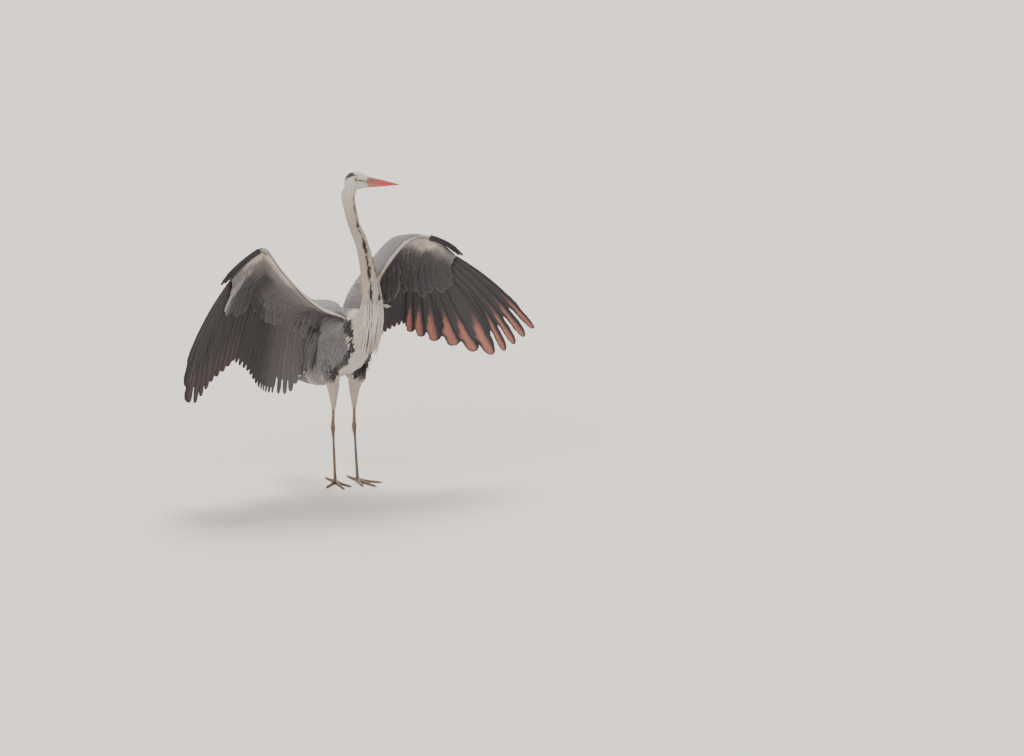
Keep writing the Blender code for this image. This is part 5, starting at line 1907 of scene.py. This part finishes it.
class HERON_OT_bill(bpy.types.Operator):
    """Build both mandibles, the chin's feathers and the nostrils"""
    bl_idname = "heron.bill"
    bl_label = "Bill"

    def execute(self, context):
        build_mandible(True)
        build_mandible(False)
        chin_feathers(700, rng_for(context, 60))
        for side in SIDES:
            build_nostril(side)
        return {"FINISHED"}


class HERON_OT_legs(bpy.types.Operator):
    """Build the bare legs, feet and claws"""
    bl_idname = "heron.legs"
    bl_label = "Legs"

    def execute(self, context):
        for side in SIDES:
            build_leg(side)
            build_claws(side)
        return {"FINISHED"}


def direction_to(azimuth, elevation):
    return Vector((math.sin(azimuth) * math.cos(elevation),
                   -math.cos(azimuth) * math.cos(elevation), math.sin(elevation)))


def sun(name, strength, colour, azimuth, elevation, softness):
    """A soft lamp that shines from a direction given as for the camera."""
    lamp = bpy.data.lights.new(name, "SUN")
    lamp.energy = strength
    lamp.color = colour
    lamp.angle = math.radians(softness)
    back = direction_to(math.radians(azimuth), math.radians(elevation))
    add_object(name, lamp).rotation_euler = back.to_track_quat("Z", "Y").to_euler()


class HERON_OT_stage(bpy.types.Operator):
    """Set out the floor, the lights and the camera"""
    bl_idname = "heron.stage"
    bl_label = "Stage"

    def execute(self, context):
        stage = context.scene.heron_stage
        bm = bmesh.new()
        bmesh.ops.create_grid(bm, x_segments=1, y_segments=1, size=60)
        floor_paint = bpy.data.materials.new("plain_floor")
        floor_paint.use_nodes = True
        shader = floor_paint.node_tree.nodes["Principled BSDF"]
        shader.inputs["Base Color"].default_value = (*stage.floor_colour, 1)
        shader.inputs["Roughness"].default_value = 0.9
        mesh = mesh_from("floor", bm, from_mm=False)
        mesh.materials.append(floor_paint)
        add_object("floor", mesh)

        world = bpy.data.worlds.new("soft_room")
        context.scene.world = world
        world.use_nodes = True
        room = world.node_tree.nodes["Background"]
        room.inputs["Color"].default_value = (1.0, 0.96, 0.92, 1)
        room.inputs["Strength"].default_value = 0.62
        sun("key", stage.key_strength, (1.0, 0.95, 0.88), 150, 48, 24)
        sun("fill", stage.fill_strength, (1.0, 0.97, 0.95), -50, 35, 60)

        camera = bpy.data.cameras.new("view")
        camera.lens = stage.lens
        camera.sensor_width = 36.0
        camera.clip_end = 200
        camera.clip_start = 1
        back = direction_to(stage.azimuth, stage.elevation)
        turn = back.to_track_quat("Z", "Y")
        aim = Vector(in_metres((0, 0, 210)))
        aim += turn @ Vector((stage.rightward, stage.upward, 0))
        obj = add_object("view", camera)
        obj.location = aim + back * stage.distance
        obj.rotation_euler = turn.to_euler()
        context.scene.camera = obj
        return {"FINISHED"}


OPERATORS = (HERON_OT_skin, HERON_OT_body_coat, HERON_OT_breast, HERON_OT_coverts,
             HERON_OT_flight_feathers, HERON_OT_tail, HERON_OT_eyes, HERON_OT_bill,
             HERON_OT_legs, HERON_OT_stage)


class HERON_PT_panel(bpy.types.Panel):
    """Settings and builders of the heron"""
    bl_label = "Grey heron"
    bl_idname = "HERON_PT_panel"
    bl_space_type = "VIEW_3D"
    bl_region_type = "UI"
    bl_category = "Heron"

    def draw(self, context):
        layout = self.layout
        for group in (context.scene.heron_plumage, context.scene.heron_stage):
            box = layout.box()
            for name in group.__annotations__:
                box.prop(group, name)
        for operator in OPERATORS:
            layout.operator(operator.bl_idname)


CLASSES = (HeronPlumageSettings, HeronStageSettings, *OPERATORS, HERON_PT_panel)


def register():
    for made in CLASSES:
        bpy.utils.register_class(made)
    bpy.types.Scene.heron_plumage = PointerProperty(type=HeronPlumageSettings)
    bpy.types.Scene.heron_stage = PointerProperty(type=HeronStageSettings)


def unregister():
    del bpy.types.Scene.heron_plumage
    del bpy.types.Scene.heron_stage
    for made in reversed(CLASSES):
        bpy.utils.unregister_class(made)


def main():
    register()
    for operator in OPERATORS:
        group, name = operator.bl_idname.split(".")
        getattr(getattr(bpy.ops, group), name)()


if __name__ == "__main__":
    main()
